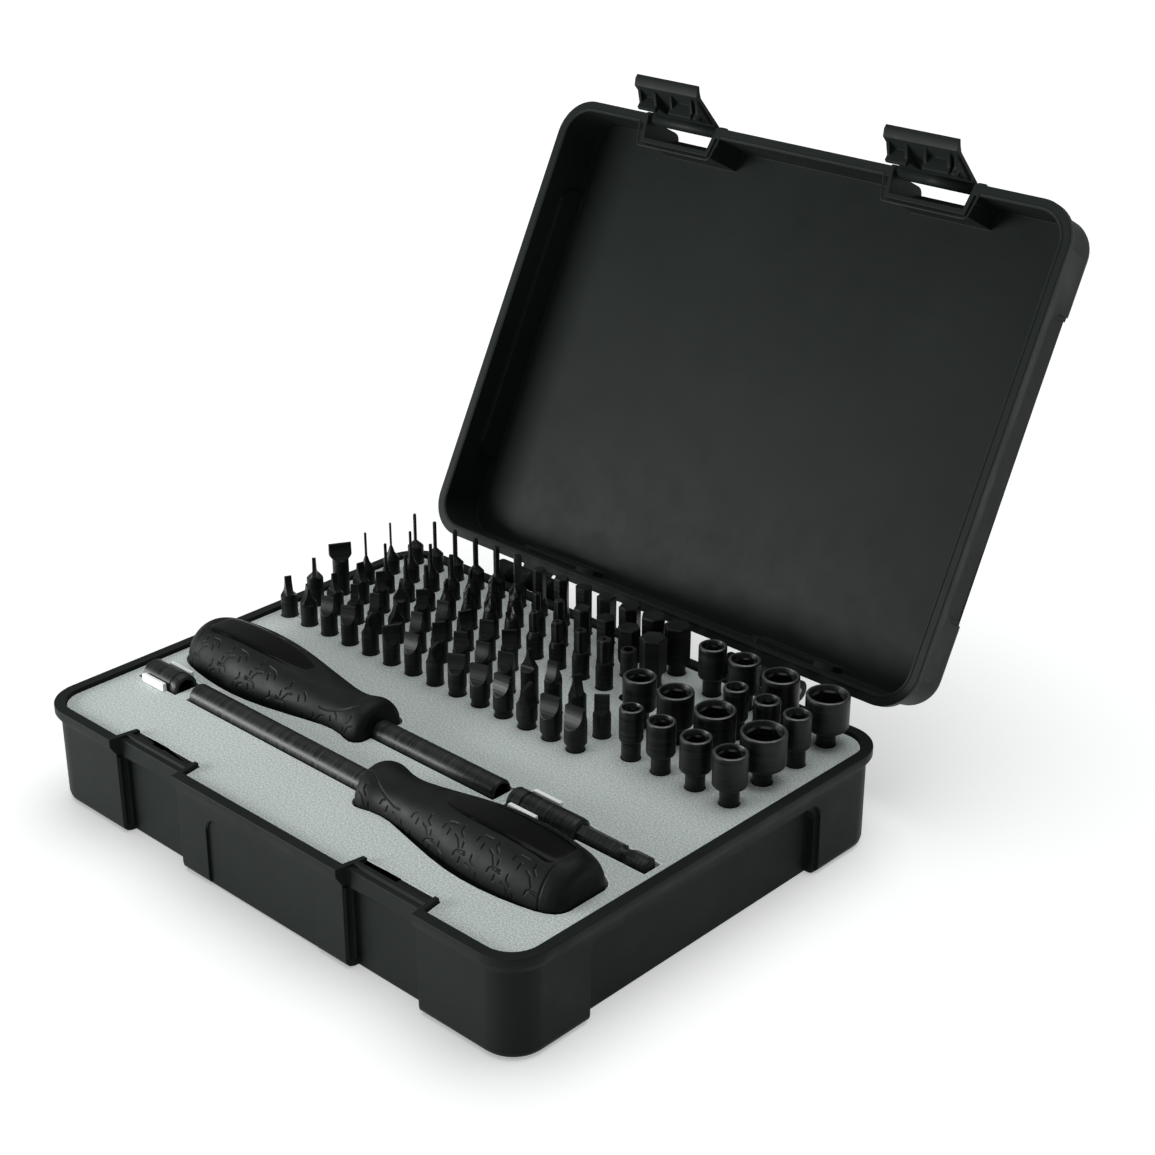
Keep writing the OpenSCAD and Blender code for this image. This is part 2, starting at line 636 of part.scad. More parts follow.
// trough for a driver: wider round the belly of the handle, so that fingers reach it
module driver_pocket(bare) {
    x = pocket_gap;
    along() rotate_extrude() polygon(concat(
        [[0, -x]],
        [for (p = HANDLE) let (belly = pow(sin(180 * min(1, max(0, (p[0] - 0.18) / 0.8))), 1))
            [p[1] * handle_r + x + finger_room * belly, -x + p[0] * (handle_len + 2 * x)]],
        [[0, handle_len + x]]));
    rotate([0, 0, 180]) along() cylinder(h = bare + 0.8, r = shaft_r + x);
}

module clip_seat(r) {
    outer = r + clip_t + foam_gap;
    translate([-foam_gap, -outer, -r - clip_t]) cube([clip_len + 2 * foam_gap, 2 * outer, outer + 1]);
}

module bit_holes() {
    for (r = [1:6], i = [0:12 + (r < 3 ? 1 : 0)]) if (r != 3 || i < 9)
        translate([column(i), row(r), foam_top - bit_sunk]) cylinder(h = bit_sunk + 1, r = bit_d / 2 + hole_gap);
}

// ---- bits -----------------------------------------------------------------------

// hexagon shank and the round body that stands in the foam
module bit_root(body_h, d) {
    neck = d > bit_d ? 3 : 1;
    translate([0, 0, -bit_sunk]) cylinder(h = bit_sunk - root_in, r = hex_r - 0.2, $fn = 6);
    translate([0, 0, -root_in]) cylinder(h = root_in + neck, d = bit_d - 0.2);
    translate([0, 0, neck]) cylinder(h = body_h - neck, d = d - 0.2);
}

wide_tip = 5;                                // length of the widened end of a blade wider than its body

// hollow-ground flat blade: [width, thickness, height, turn, body diameter]
module flat_bit(b) {
    w = b[0];
    grind = 11;                               // radius of the ground hollows
    d = b[4];
    body = max(d, w + 0.2);
    rotate([0, 0, b[3]]) {
        if (w > d) {
            bit_root(b[2] - 14, d);
            blade(w, b[1], b[2], body, d - 0.2, grind, b[2] - 14);
        } else {
            bit_root(b[2] - 11, d);
            blade(w, b[1], b[2], d - 0.2, d - 0.2, grind, b[2] - 11);
        }
    }
}

// round stock from height z0 to the tip, ground hollow on two faces and cut to the blade's width
module blade(w, t, h, d, neck, grind, z0) {
    shoulder = h - sqrt(pow(grind, 2) - pow(grind + t / 2 - d / 2, 2));
    difference() {
        union() {
            translate([0, 0, z0 - 0.01]) cylinder(h = h - z0 + 0.01, d = neck);
            if (d > neck) {
                translate([0, 0, h - wide_tip]) cylinder(h = wide_tip, d = d);
                translate([0, 0, h - wide_tip - 2]) cylinder(h = 2.01, d1 = neck, d2 = d);
            }
        }
        for (s = [-1, 1]) {
            translate([0, s * (grind + t / 2), h]) rotate([0, 90, 0])
                cylinder(h = 2 * d, r = grind, center = true);
            translate([s * (w / 2 + d), 0, h]) cube([2 * d, 2 * d, 2 * (h - shoulder)], center = true);
        }
    }
}

// thin round pin on a cone
module needle_bit(tip, h) {
    bit_root(6.5, bit_d);
    translate([0, 0, 6.49]) cylinder(h = 3.5, d1 = bit_d - 0.4, d2 = 2.6);
    translate([0, 0, 9.98]) cylinder(h = 2.6, d1 = 2.6, d2 = tip);
    translate([0, 0, 12.57]) cylinder(h = h - 12.57, d = tip);
}

// cross tip: a cone with four flutes
module cross_bit(tip, h) {
    bit_root(8, bit_d);
    difference() {
        union() {
            translate([0, 0, 7.99]) cylinder(h = 3.5, d1 = bit_d - 0.4, d2 = tip + 1.8);
            translate([0, 0, 11.48]) cylinder(h = h - 13.5, d = tip + 1.8);
            translate([0, 0, h - 2.03]) cylinder(h = 2.03, d1 = tip + 1.8, d2 = 0.36 * tip + 0.4);
        }
        for (a = [45:90:315]) rotate([0, 0, a]) translate([0.62 * tip + 0.75, 0, h - 5]) rotate([0, 12, 0])
            cylinder(h = 9, d = 0.62 * tip + 0.5);
    }
}

// six-lobed tip, drilled for a pin if pin is above 0
module star_bit(tip, h, pin) {
    bit_root(9, bit_d);
    difference() {
        union() {
            translate([0, 0, 8.99]) cylinder(h = 2.4, d1 = bit_d - 0.3, d2 = min(bit_d - 0.6, tip + 0.6));
            translate([0, 0, 11.38]) cylinder(h = h - 11.38, d = tip);
        }
        for (a = [0:60:300]) rotate([0, 0, a]) translate([0.56 * tip, 0, 12]) cylinder(h = h, d = 0.36 * tip);
        if (pin > 0) translate([0, 0, h - 3]) cylinder(h = 4, d = pin);
    }
}

// hexagon tip on a round neck
module hex_bit(af, h, neck) {
    r = af / 2 / cos(30);
    bit_root(neck, bit_d);
    if (af < bit_d - 1) translate([0, 0, neck - 0.01]) cylinder(h = 2.5, d1 = bit_d - 0.3, d2 = 2 * r);
    translate([0, 0, neck - 0.01]) cylinder(h = h - neck, r = r, $fn = 6);
}

module place(c, r) { translate([column(c - 1), row(r), foam_top]) children(); }

module flat_row(r, table) color([0.12, 0.125, 0.125])
    for (i = [0:len(table) - 1]) place(i + 1, r) flat_bit(table[i]);

module flat_bits_row_1() flat_row(1, FLAT_1);
module flat_bits_row_2() flat_row(2, FLAT_2);
module flat_bits_row_3() flat_row(3, FLAT_3);
module needle_bits() color([0.12, 0.125, 0.125]) for (b = NEEDLES) place(b[0], b[1]) needle_bit(b[2], b[3]);
module cross_bits() color([0.12, 0.125, 0.125]) for (b = CROSSES) place(b[0], b[1]) cross_bit(b[2], b[3]);
module star_bits() color([0.12, 0.125, 0.125]) for (b = STARS) place(b[0], b[1]) star_bit(b[2], b[3], 0);
module pinned_star_bits() color([0.12, 0.125, 0.125])
    for (b = PINNED) place(b[0], b[1]) star_bit(b[2], b[3], 0.3 * b[2]);
module large_hex_bits() color([0.12, 0.125, 0.125])
    for (b = LARGE_HEX) place(b[0], b[1]) rotate([0, 0, 12 * b[0]]) hex_bit(b[2], b[3], 6);
module hex_key_bits() color([0.12, 0.125, 0.125])
    for (i = [0:12]) place(i + 1, 6) rotate([0, 0, 17 * i]) hex_bit(HEX_KEYS[i], i < 6 ? 23 : 21, i < 6 ? 8 : 5);

// slim nut spinner at the end of row 4
module spanner_bit() color([0.12, 0.125, 0.125]) place(13, 4) difference() {
    union() {
        translate([0, 0, -bit_sunk]) cylinder(h = bit_sunk + 9, d = 4.6);
        translate([0, 0, -2]) cylinder(h = 2, d = bit_d - 0.2);
        translate([0, 0, 8.99]) cylinder(h = 3, d1 = 4.6, d2 = 6.4);
        translate([0, 0, 11.98]) cylinder(h = 9.02, d = 6.4);
    }
    translate([0, 0, 15]) cylinder(h = 7, d = 3.6, $fn = 6);
}

// ---- sockets ----------------------------------------------------------------------

// nut socket on a stem: [x, y, head diameter, hexagon across flats]
module socket(s) {
    d = s[2];
    neck = socket_h - head_h;
    rim = 0.7;
    color([0.13, 0.135, 0.135]) translate([socket_x - s[0], socket_y - s[1], foam_top]) difference() {
        union() {
            translate([0, 0, -bit_sunk]) cylinder(h = bit_sunk - root_in, r = hex_r - 0.2, $fn = 6);
            translate([0, 0, -root_in]) cylinder(h = neck + root_in, d = stem_d - 0.2);
            translate([0, 0, neck]) cylinder(h = 1.2, d1 = d - 2, d2 = d);
            translate([0, 0, neck + 1.19]) cylinder(h = head_h - 1.19 - rim, d = d);
            translate([0, 0, socket_h - rim - 0.01]) cylinder(h = rim + 0.01, d1 = d, d2 = d - 1.1);
        }
        translate([0, 0, socket_h - 9]) cylinder(h = 10, r = s[3] / 2 / cos(30), $fn = 6);
        translate([0, 0, socket_h - 0.9]) cylinder(h = 0.91, d1 = s[3], d2 = s[3] / cos(30) + 0.9);
    }
}

// ---- the pieces --------------------------------------------------------------------

base_shell();
foam_insert();
lid_shell();
hinge_pin_left();
hinge_pin_right();
latch_left();
latch_right();
latch_pin_left();
latch_pin_right();
long_driver_handle();
long_driver_inlay();
long_driver_shaft();
long_driver_magnet();
stubby_driver_handle();
stubby_driver_inlay();
stubby_driver_shaft();
stubby_driver_magnet();
short_adapter();
short_adapter_magnet();
short_adapter_clip();
long_adapter();
long_adapter_magnet();
long_adapter_clip();
flat_bits_row_1();
flat_bits_row_2();
flat_bits_row_3();
needle_bits();
cross_bits();
star_bits();
pinned_star_bits();
spanner_bit();
large_hex_bits();
hex_key_bits();
for (i = [1:SOCKETS]) socket(SOCKET_ROWS[i - 1]);
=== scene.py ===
import json
import math

import bmesh
import bpy
import numpy as np
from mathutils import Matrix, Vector

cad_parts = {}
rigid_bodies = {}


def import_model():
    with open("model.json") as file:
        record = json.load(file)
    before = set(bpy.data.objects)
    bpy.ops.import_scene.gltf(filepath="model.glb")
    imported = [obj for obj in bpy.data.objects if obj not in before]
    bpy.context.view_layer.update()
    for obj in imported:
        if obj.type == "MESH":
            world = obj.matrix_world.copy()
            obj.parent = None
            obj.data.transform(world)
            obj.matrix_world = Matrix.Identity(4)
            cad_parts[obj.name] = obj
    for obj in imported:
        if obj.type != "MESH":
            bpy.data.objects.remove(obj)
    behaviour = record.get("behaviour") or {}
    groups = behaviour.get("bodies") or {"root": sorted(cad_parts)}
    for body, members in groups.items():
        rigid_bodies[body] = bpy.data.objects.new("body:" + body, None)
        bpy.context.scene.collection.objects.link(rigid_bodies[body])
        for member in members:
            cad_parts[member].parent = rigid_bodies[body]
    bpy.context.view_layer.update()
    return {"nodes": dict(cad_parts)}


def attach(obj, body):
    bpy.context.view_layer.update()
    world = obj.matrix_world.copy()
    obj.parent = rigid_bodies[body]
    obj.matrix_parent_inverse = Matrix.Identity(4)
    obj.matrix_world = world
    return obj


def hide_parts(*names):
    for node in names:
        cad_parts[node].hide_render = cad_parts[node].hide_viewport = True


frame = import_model()

# ---- Case base --------------------------------------------------------------
# The base is one injection-moulded tray in dark charcoal polypropylene, with a
# lightly etched skin. Its edges keep the small rounding of the mould, and the
# two hinge pins are driven through the knuckles at its back.

MM = 0.001
MERGE = 2e-6  # points nearer each other than this, in metres, are one point
CASE_EDGE = 0.35  # rounding of the moulded edges, in millimetres


def link(name, mesh):
    """A new object in the scene that holds the mesh."""
    piece = bpy.data.objects.new(name, mesh)
    bpy.context.scene.collection.objects.link(piece)
    return piece


def moulded(node, name, edge, body, finish, cut_finish=None, angle=40.0, shortest=0.9):
    """Copy of a CAD node with its loose triangles merged, flat triangles joined into whole
    faces, and each edge sharper than the angle rounded by a bevel of width edge in
    millimetres. An edge stays sharp where it is shorter than the shortest, beside a face
    narrower than the bevel, or at a corner where more than three sharp edges meet.
    The bevel's own faces take cut_finish where one is given."""
    mesh = frame["nodes"][node].data.copy()
    mesh.materials.clear()
    mesh.materials.append(finish)
    if cut_finish:
        mesh.materials.append(cut_finish)
    work = bmesh.new()
    work.from_mesh(mesh)
    bmesh.ops.remove_doubles(work, verts=work.verts, dist=MERGE)
    flat_within = math.radians(0.4)
    bmesh.ops.dissolve_limit(
        work, angle_limit=flat_within, verts=work.verts, edges=work.edges)
    weight = work.edges.layers.float.new("bevel_weight_edge")
    crisp = {side for side in work.edges
             if len(side.link_faces) == 2 and side.calc_face_angle() > math.radians(angle)}
    for side in crisp:
        face_width = min(2 * face.calc_area() / max(face.calc_perimeter(), 1e-9)
                         for face in side.link_faces)
        crowd = max(sum(other in crisp for other in end.link_edges) for end in side.verts)
        long_enough = side.calc_length() > shortest * MM
        if long_enough and face_width > 1.2 * edge * MM and crowd <= 3:
            side[weight] = 1.0
    for face in work.faces:
        face.smooth = True
        face.material_index = 0
    work.to_mesh(mesh)
    work.free()
    piece = link(name, mesh)
    bevel = piece.modifiers.new("edges", "BEVEL")
    bevel.width = edge * MM
    bevel.segments = 2
    bevel.limit_method = "WEIGHT"
    bevel.use_clamp_overlap = False
    bevel.loop_slide = False
    if cut_finish:
        bevel.material = 1
    normals = piece.modifiers.new("normals", "WEIGHTED_NORMAL")
    normals.keep_sharp = False
    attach(piece, body)
    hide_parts(node)
    return piece


def shader(name, colour, roughness, metallic=0.0, specular=0.5):
    """A new material, with its node tree, its principled shader and the object coordinates."""
    material = bpy.data.materials.new(name)
    material.use_nodes = True
    tree = material.node_tree
    surface = tree.nodes["Principled BSDF"]
    surface.inputs["Base Color"].default_value = (*colour, 1.0)
    surface.inputs["Roughness"].default_value = roughness
    surface.inputs["Metallic"].default_value = metallic
    surface.inputs["Specular IOR Level"].default_value = specular
    place = tree.nodes.new("ShaderNodeTexCoord")
    return material, tree, surface, place.outputs["Object"]


def noise(tree, place, scale, detail=3.0, roughness=0.6):
    """Fractal noise on the given coordinates, with scale in cycles per metre."""
    node = tree.nodes.new("ShaderNodeTexNoise")
    node.inputs["Scale"].default_value = scale
    node.inputs["Detail"].default_value = detail
    node.inputs["Roughness"].default_value = roughness
    tree.links.new(place, node.inputs["Vector"])
    return node.outputs["Fac"]


def ramp(tree, value, stops):
    """Maps a value through a colour ramp of (place, colour) stops."""
    node = tree.nodes.new("ShaderNodeValToRGB")
    tree.links.new(value, node.inputs["Fac"])
    keys = node.color_ramp.elements
    while len(keys) < len(stops):
        keys.new(0.5)
    for key, (place, colour) in zip(keys, stops):
        key.position = place
        key.color = (*colour, 1.0) if len(colour) == 3 else colour
    return node.outputs["Color"]


def grey(value):
    """A colour with the same value in red, green and blue."""
    return (value, value, value)


def bump(tree, surface, height, distance, strength=1.0, under=None):
    """Bump of the given depth in metres, laid over another bump where one is given."""
    node = tree.nodes.new("ShaderNodeBump")
    node.inputs["Strength"].default_value = strength
    node.inputs["Distance"].default_value = distance
    tree.links.new(height, node.inputs["Height"])
    if under is not None:
        tree.links.new(under, node.inputs["Normal"])
    tree.links.new(node.outputs["Normal"], surface.inputs["Normal"])
    return node.outputs["Normal"]


def case_plastic(name, dark, light, specular):
    """Etched polypropylene: a fine grain in the surface over a coarser one, and slow clouding
    of the colour and of the gloss."""
    material, tree, surface, place = shader(name, dark, 0.5, specular=specular)
    cloud = noise(tree, place, 14.0, 4.0)
    colour = ramp(tree, cloud, [(0.35, dark), (0.68, light)])
    tree.links.new(colour, surface.inputs["Base Color"])
    patches = noise(tree, place, 60.0, 5.0, 0.7)
    gloss = ramp(tree, patches, [(0.3, grey(0.42)), (0.7, grey(0.56))])
    tree.links.new(gloss, surface.inputs["Roughness"])
    grain = bump(tree, surface, noise(tree, place, 2600.0, 2.0), 0.04 * MM, 0.35)
    bump(tree, surface, noise(tree, place, 420.0, 2.0), 0.03 * MM, 0.25, grain)
    return material


BASE_DARK, BASE_LIGHT = (0.0070, 0.0092, 0.0087), (0.0094, 0.0119, 0.0113)
BASE_PLASTIC = case_plastic("case_plastic", BASE_DARK, BASE_LIGHT, 0.07)
base = moulded("base_shell", "case_base", CASE_EDGE, "case_base", BASE_PLASTIC)

PIN_STEEL, tree, surface, place = shader("pin_steel", grey(0.22), 0.34, metallic=1.0)
turned_marks = noise(tree, place, 900.0, 4.0)
pin_gloss = ramp(tree, turned_marks, [(0.3, grey(0.24)), (0.7, grey(0.44))])
tree.links.new(pin_gloss, surface.inputs["Roughness"])
pin_stain = noise(tree, place, 300.0, 4.0)
pin_colour = ramp(tree, pin_stain, [(0.3, grey(0.17)), (0.7, grey(0.27))])
tree.links.new(pin_colour, surface.inputs["Base Color"])
for node in ("hinge_pin_left", "hinge_pin_right", "latch_pin_left", "latch_pin_right"):
    pin = frame["nodes"][node]
    pin.data.materials.clear()
    pin.data.materials.append(PIN_STEEL)

# ---- Foam insert ------------------------------------------------------------
# The insert is a block of dense grey closed-cell foam. The pockets and holes
# are cut with steel rules, so that their rims show a thin paler edge where the
# skin of the foam turns in.

CUT_EDGE = 0.42  # width of the paler cut edge, in millimetres
MIX_A, MIX_B, MIX_RESULT = 6, 7, 2  # a Mix node's colour sockets: two inputs and the output
CELL_DARK, CELL_GREY, CELL_PALE = (0.24, 0.28, 0.268), (0.42, 0.465, 0.45), (0.60, 0.645, 0.63)
EDGE_DARK, EDGE_PALE = (0.56, 0.61, 0.59), (0.76, 0.80, 0.78)

FOAM, tree, surface, place = shader("foam", (0.40, 0.44, 0.43), 0.93, specular=0.25)
cells = noise(tree, place, 1450.0, 2.5, 0.8)
speckle = ramp(tree, cells, [(0.34, CELL_DARK), (0.5, CELL_GREY), (0.66, CELL_PALE)])
clouds = ramp(tree, noise(tree, place, 16.0, 3.0), [(0.3, grey(0.93)), (0.7, grey(1.0))])
tone = tree.nodes.new("ShaderNodeMix")
tone.data_type = "RGBA"
tone.blend_type = "MULTIPLY"
tone.inputs["Factor"].default_value = 1.0
tree.links.new(speckle, tone.inputs[MIX_A])
tree.links.new(clouds, tone.inputs[MIX_B])
tree.links.new(tone.outputs[MIX_RESULT], surface.inputs["Base Color"])
surface.inputs["Sheen Weight"].default_value = 0.15
cell_walls = bump(tree, surface, cells, 0.12 * MM, 0.5)
bump(tree, surface, noise(tree, place, 90.0, 2.0), 0.2 * MM, 0.25, cell_walls)

FOAM_EDGE, tree, surface, place = shader("foam_edge", (0.66, 0.71, 0.69), 0.9, specular=0.25)
edge_cells = ramp(tree, noise(tree, place, 2000.0, 2.0), [(0.3, EDGE_DARK), (0.7, EDGE_PALE)])
tree.links.new(edge_cells, surface.inputs["Base Color"])
bump(tree, surface, noise(tree, place, 1500.0, 2.0), 0.1 * MM, 0.4)

foam = moulded("foam_insert", "foam", CUT_EDGE, "case_base", FOAM, FOAM_EDGE,
               angle=50.0, shortest=0.1)

# ---- Lid --------------------------------------------------------------------
# The lid is moulded from the same plastic as the base. A fine sealing ridge
# runs round its rim and follows the latch notches, and the middle knuckle of
# each hinge is part of it.

LID_DARK, LID_LIGHT = (0.0088, 0.0114, 0.0108), (0.0112, 0.0142, 0.0135)
LID_PLASTIC = case_plastic("lid_plastic", LID_DARK, LID_LIGHT, 0.09)
lid = moulded("lid_shell", "lid", CASE_EDGE, "lid", LID_PLASTIC)

# the case's sizes in millimetres, as its CAD source has them, and the lid's angle from shut
CASE_W, CASE_D, BASE_H, CORNER, RIM_GAP = 260.0, 200.0, 41.5, 16.0, 0.35
HINGE_Y, HINGE_Z, LID_OPEN = 105.9, 42.7, 117.4
# the latch notches: place, width at the mouth, slope of the sides, depth and corner radii
LATCH_X, NOTCH_W, NOTCH_SLOPE, LID_NOTCH = 64.3, 37.5, 0.16, 10.5
NOTCH_MOUTH_R, NOTCH_END_R = 0.8, 2.0
# the ridge: its distance inside the rim, half its width, and its height above and below
RIDGE_INSET, RIDGE_HALF, RIDGE_H = 3.5, 0.5, 0.255


def swing_open(points):
    """Turns points given for the shut lid about the hinge axis, by a plane rotation of y and z,
    to where the open lid has them."""
    a = math.radians(-LID_OPEN)
    y, z = points[..., 1] - HINGE_Y, points[..., 2] - HINGE_Z
    turned = np.array(points, float)
    turned[..., 1] = HINGE_Y + y * math.cos(a) - z * math.sin(a)
    turned[..., 2] = HINGE_Z + y * math.sin(a) + z * math.cos(a)
    return turned


def rounded(corners, radii, steps=8):
    """Closed outline through the corners, each cut by a circular arc. The arc leaves each side
    at the radius over the tangent of half the corner's angle from the corner, its centre lies
    on the corner's bisector, and it is sampled evenly in angle."""
    corners = np.array(corners, float)
    before, after = np.roll(corners, 1, 0), np.roll(corners, -1, 0)
    u = (before - corners) / np.linalg.norm(before - corners, axis=1)[:, None]
    v = (after - corners) / np.linalg.norm(after - corners, axis=1)[:, None]
    half = np.arccos(np.clip((u * v).sum(1), -1, 1)) / 2
    radii = np.array(radii, float)
    bisector = (u + v) / np.linalg.norm(u + v, axis=1)[:, None]
    middle = corners + bisector * (radii / np.sin(half))[:, None]
    start = corners + u * (radii / np.tan(half))[:, None] - middle
    end = corners + v * (radii / np.tan(half))[:, None] - middle
    a0 = np.arctan2(start[:, 1], start[:, 0])
    sweep = (np.arctan2(end[:, 1], end[:, 0]) - a0 + math.pi) % (2 * math.pi) - math.pi
    a = a0[:, None] + sweep[:, None] * np.linspace(0, 1, steps)[None, :]
    arc = middle[:, None, :] + radii[:, None, None] * np.stack([np.cos(a), np.sin(a)], -1)
    return arc.reshape(-1, 2)


def rim_outline(inset):
    """Outline of the rim at a distance inside its outer edge, with the two latch notches."""
    hx, hy = CASE_W / 2 - inset, CASE_D / 2 - inset
    corners, radii = [[-hx, hy], [-hx, -hy]], [CORNER - inset, CORNER - inset]
    for x in (-LATCH_X, LATCH_X):
        w = NOTCH_W / 2 + inset
        w1 = w - NOTCH_SLOPE * (LID_NOTCH + inset)
        y1 = -CASE_D / 2 + LID_NOTCH + inset
        corners += [[x - w, -hy], [x - w1, y1], [x + w1, y1], [x + w, -hy]]
        radii += [NOTCH_MOUTH_R, NOTCH_END_R, NOTCH_END_R, NOTCH_MOUTH_R]
    corners += [[hx, -hy], [hx, hy]]
    radii += [CORNER - inset, CORNER - inset]
    return rounded(corners, radii)


def grid_faces(rows, columns, close_rows=False, close_columns=False):
    """Quads of a grid of points as an array of four indices each: point (i, j) has index
    i times the columns plus j, wrapped round where the grid is closed."""
    i = np.arange(rows if close_rows else rows - 1)
    j = np.arange(columns if close_columns else columns - 1)
    i, j = np.meshgrid(i, j, indexing="ij")
    i1, j1 = (i + 1) % rows, (j + 1) % columns
    quads = [i * columns + j, i1 * columns + j, i1 * columns + j1, i * columns + j1]
    return np.stack(quads, -1).reshape(-1, 4)


def surface_piece(name, parts, finish, sharp=35.0):
    """One mesh from a list of (points in millimetres, faces). Doubles are merged, so that seams
    and poles close, normals are turned outwards, and edges sharper than the angle stay
    crisp."""
    points, faces, start = [], [], 0
    for p, f in parts:
        points.append(p.reshape(-1, 3) * MM)
        faces.append(f + start)
        start += p.size // 3
    mesh = bpy.data.meshes.new(name)
    mesh.from_pydata(np.concatenate(points).tolist(), [], np.concatenate(faces).tolist())
    work = bmesh.new()
    work.from_mesh(mesh)
    bmesh.ops.remove_doubles(work, verts=work.verts, dist=MERGE)
    bmesh.ops.recalc_face_normals(work, faces=work.faces)
    for face in work.faces:
        face.smooth = True
    work.to_mesh(mesh)
    work.free()
    mesh.set_sharp_from_angle(angle=math.radians(sharp))
    mesh.materials.append(finish)
    return link(name, mesh)


def beading(outline, half_width, height):
    """Half-round bead carried along a closed outline: across it, the offset runs over a half
    circle's cosine and the height over its sine, and one point as far below the outline as
    the bead is high closes it underneath."""
    ahead = np.roll(outline, -1, 0) - np.roll(outline, 1, 0)
    side = np.stack([-ahead[:, 1], ahead[:, 0]], -1) / np.linalg.norm(ahead, axis=1)[:, None]
    a = np.linspace(0, math.pi, 7)
    across = np.append(half_width * np.cos(a), 0.0)
    up = np.append(height * np.sin(a), -height)
    flat = outline[:, None, :] + side[:, None, :] * across[None, :, None]
    return np.concatenate([flat, np.broadcast_to(up[None, :, None], flat.shape[:2] + (1,))], -1)


ridge = beading(rim_outline(RIDGE_INSET), RIDGE_HALF, RIDGE_H)
ridge[..., 2] = BASE_H + RIM_GAP - ridge[..., 2]
ridge = swing_open(ridge)
ridge_faces = grid_faces(*ridge.shape[:2], True, True)
rim_ridge = surface_piece("lid_rim_ridge", [(ridge, ridge_faces)], LID_PLASTIC)
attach(rim_ridge, "lid")

# ---- Latches ----------------------------------------------------------------
# Each latch is a moulded flap that turns on a steel pin in the lid's notch.
# Ribs on its inner side carry the two hooks that snap under the base's shelf.

LATCH_EDGE = 0.25
for side in ("left", "right"):
    node = "latch_" + side
    latch = moulded(node, node + "_flap", LATCH_EDGE, node, LID_PLASTIC, angle=35.0)

# ---- Driver handles ---------------------------------------------------------
# The grips are moulded dark elastomer over a hard core: a flared collar, a
# waist for the fingers, a full belly and a domed butt. Short bent strokes are
# engraved in both flanks, and a bare gloss inlay is let into the top.

HANDLE_LEN, HANDLE_R, SHAFT_R = 104.0, 16.6, 5.0
# where the collar faces of the two drivers are, and the height of the tools' axes
LONG_X, LONG_Y, STUBBY_X, STUBBY_Y, TOOL_Z = 13.5, -53.4, -16.0, -24.1, 40.0
# the grip's outline: [share of its length from the collar face, share of its greatest radius]
OUTLINE = np.array([
    [0, 0.56], [0.008, 0.64], [0.02, 0.71], [0.04, 0.75], [0.065, 0.73], [0.10, 0.665],
    [0.15, 0.632], [0.20, 0.643], [0.27, 0.70], [0.36, 0.785], [0.45, 0.875], [0.54, 0.95],
    [0.62, 0.988], [0.70, 1], [0.78, 0.985], [0.86, 0.945], [0.92, 0.895], [0.955, 0.83],
    [0.98, 0.74], [0.993, 0.63], [1, 0.48]])
INLAY_FROM, INLAY_TO, INLAY_HALF = 0.37 * HANDLE_LEN, 0.93 * HANDLE_LEN, 0.44 * HANDLE_R
INLAY_LIFT, INLAY_SKIN = 0.12, 0.6
# the engraving's motif: its step along the grip, and the rows' first place and spacing round it
MOTIF_STEP, MOTIF_START, ROW_START, ROW_STEP = 17.0, -3.0, 8.2, 8.4
ENGRAVED_FROM, ENGRAVED_TO = 3.0, 93.0
# grooves as (depth, half width): the strokes, the inlay's rim, and the ring at the butt
STROKE_CUT, RIM_CUT, RING_CUT = (0.32, 0.36), (0.35, 0.6), (0.3, 0.5)
RING_AT = 0.925 * HANDLE_LEN
# angles from the top of the grip between which the mesh is finer for the engraving
FLANK_FROM, FLANK_TO = 0.56, 1.52


def handle_radius(s):
    """Radius of the grip at a distance from its collar face: the listed outline through a
    Gaussian mean, which narrows at the domed butt and close to either end."""
    fine = np.linspace(0, HANDLE_LEN, 1041)
    r = np.interp(fine, OUTLINE[:, 0] * HANDLE_LEN, OUTLINE[:, 1] * HANDLE_R)
    width = np.where(fine > 0.88 * HANDLE_LEN, 0.7, 1.6)
    width = width * np.clip(np.minimum(fine, HANDLE_LEN - fine) / 3, 0.06, 1)
    weight = np.exp(-((fine[None, :] - fine[:, None]) / width[:, None]) ** 2 / 2)
    return np.interp(s, fine, (weight * r).sum(1) / weight.sum(1))


def inlay_half(s):
    """Half the width of the inlay: it grows as a quarter ellipse from a round tip at the waist,
    and its two corners at the butt are rounded off by a superellipse."""
    t = np.clip((s - INLAY_FROM) / (INLAY_TO - INLAY_FROM), 0, 1)
    tip = np.sqrt(1 - (1 - np.minimum(t / 0.55, 1)) ** 2)
    corner = (1 - np.clip((t - 0.9) / 0.1, 0, 1) ** 2.6) ** 0.45
    return INLAY_HALF * tip ** 0.9 * corner


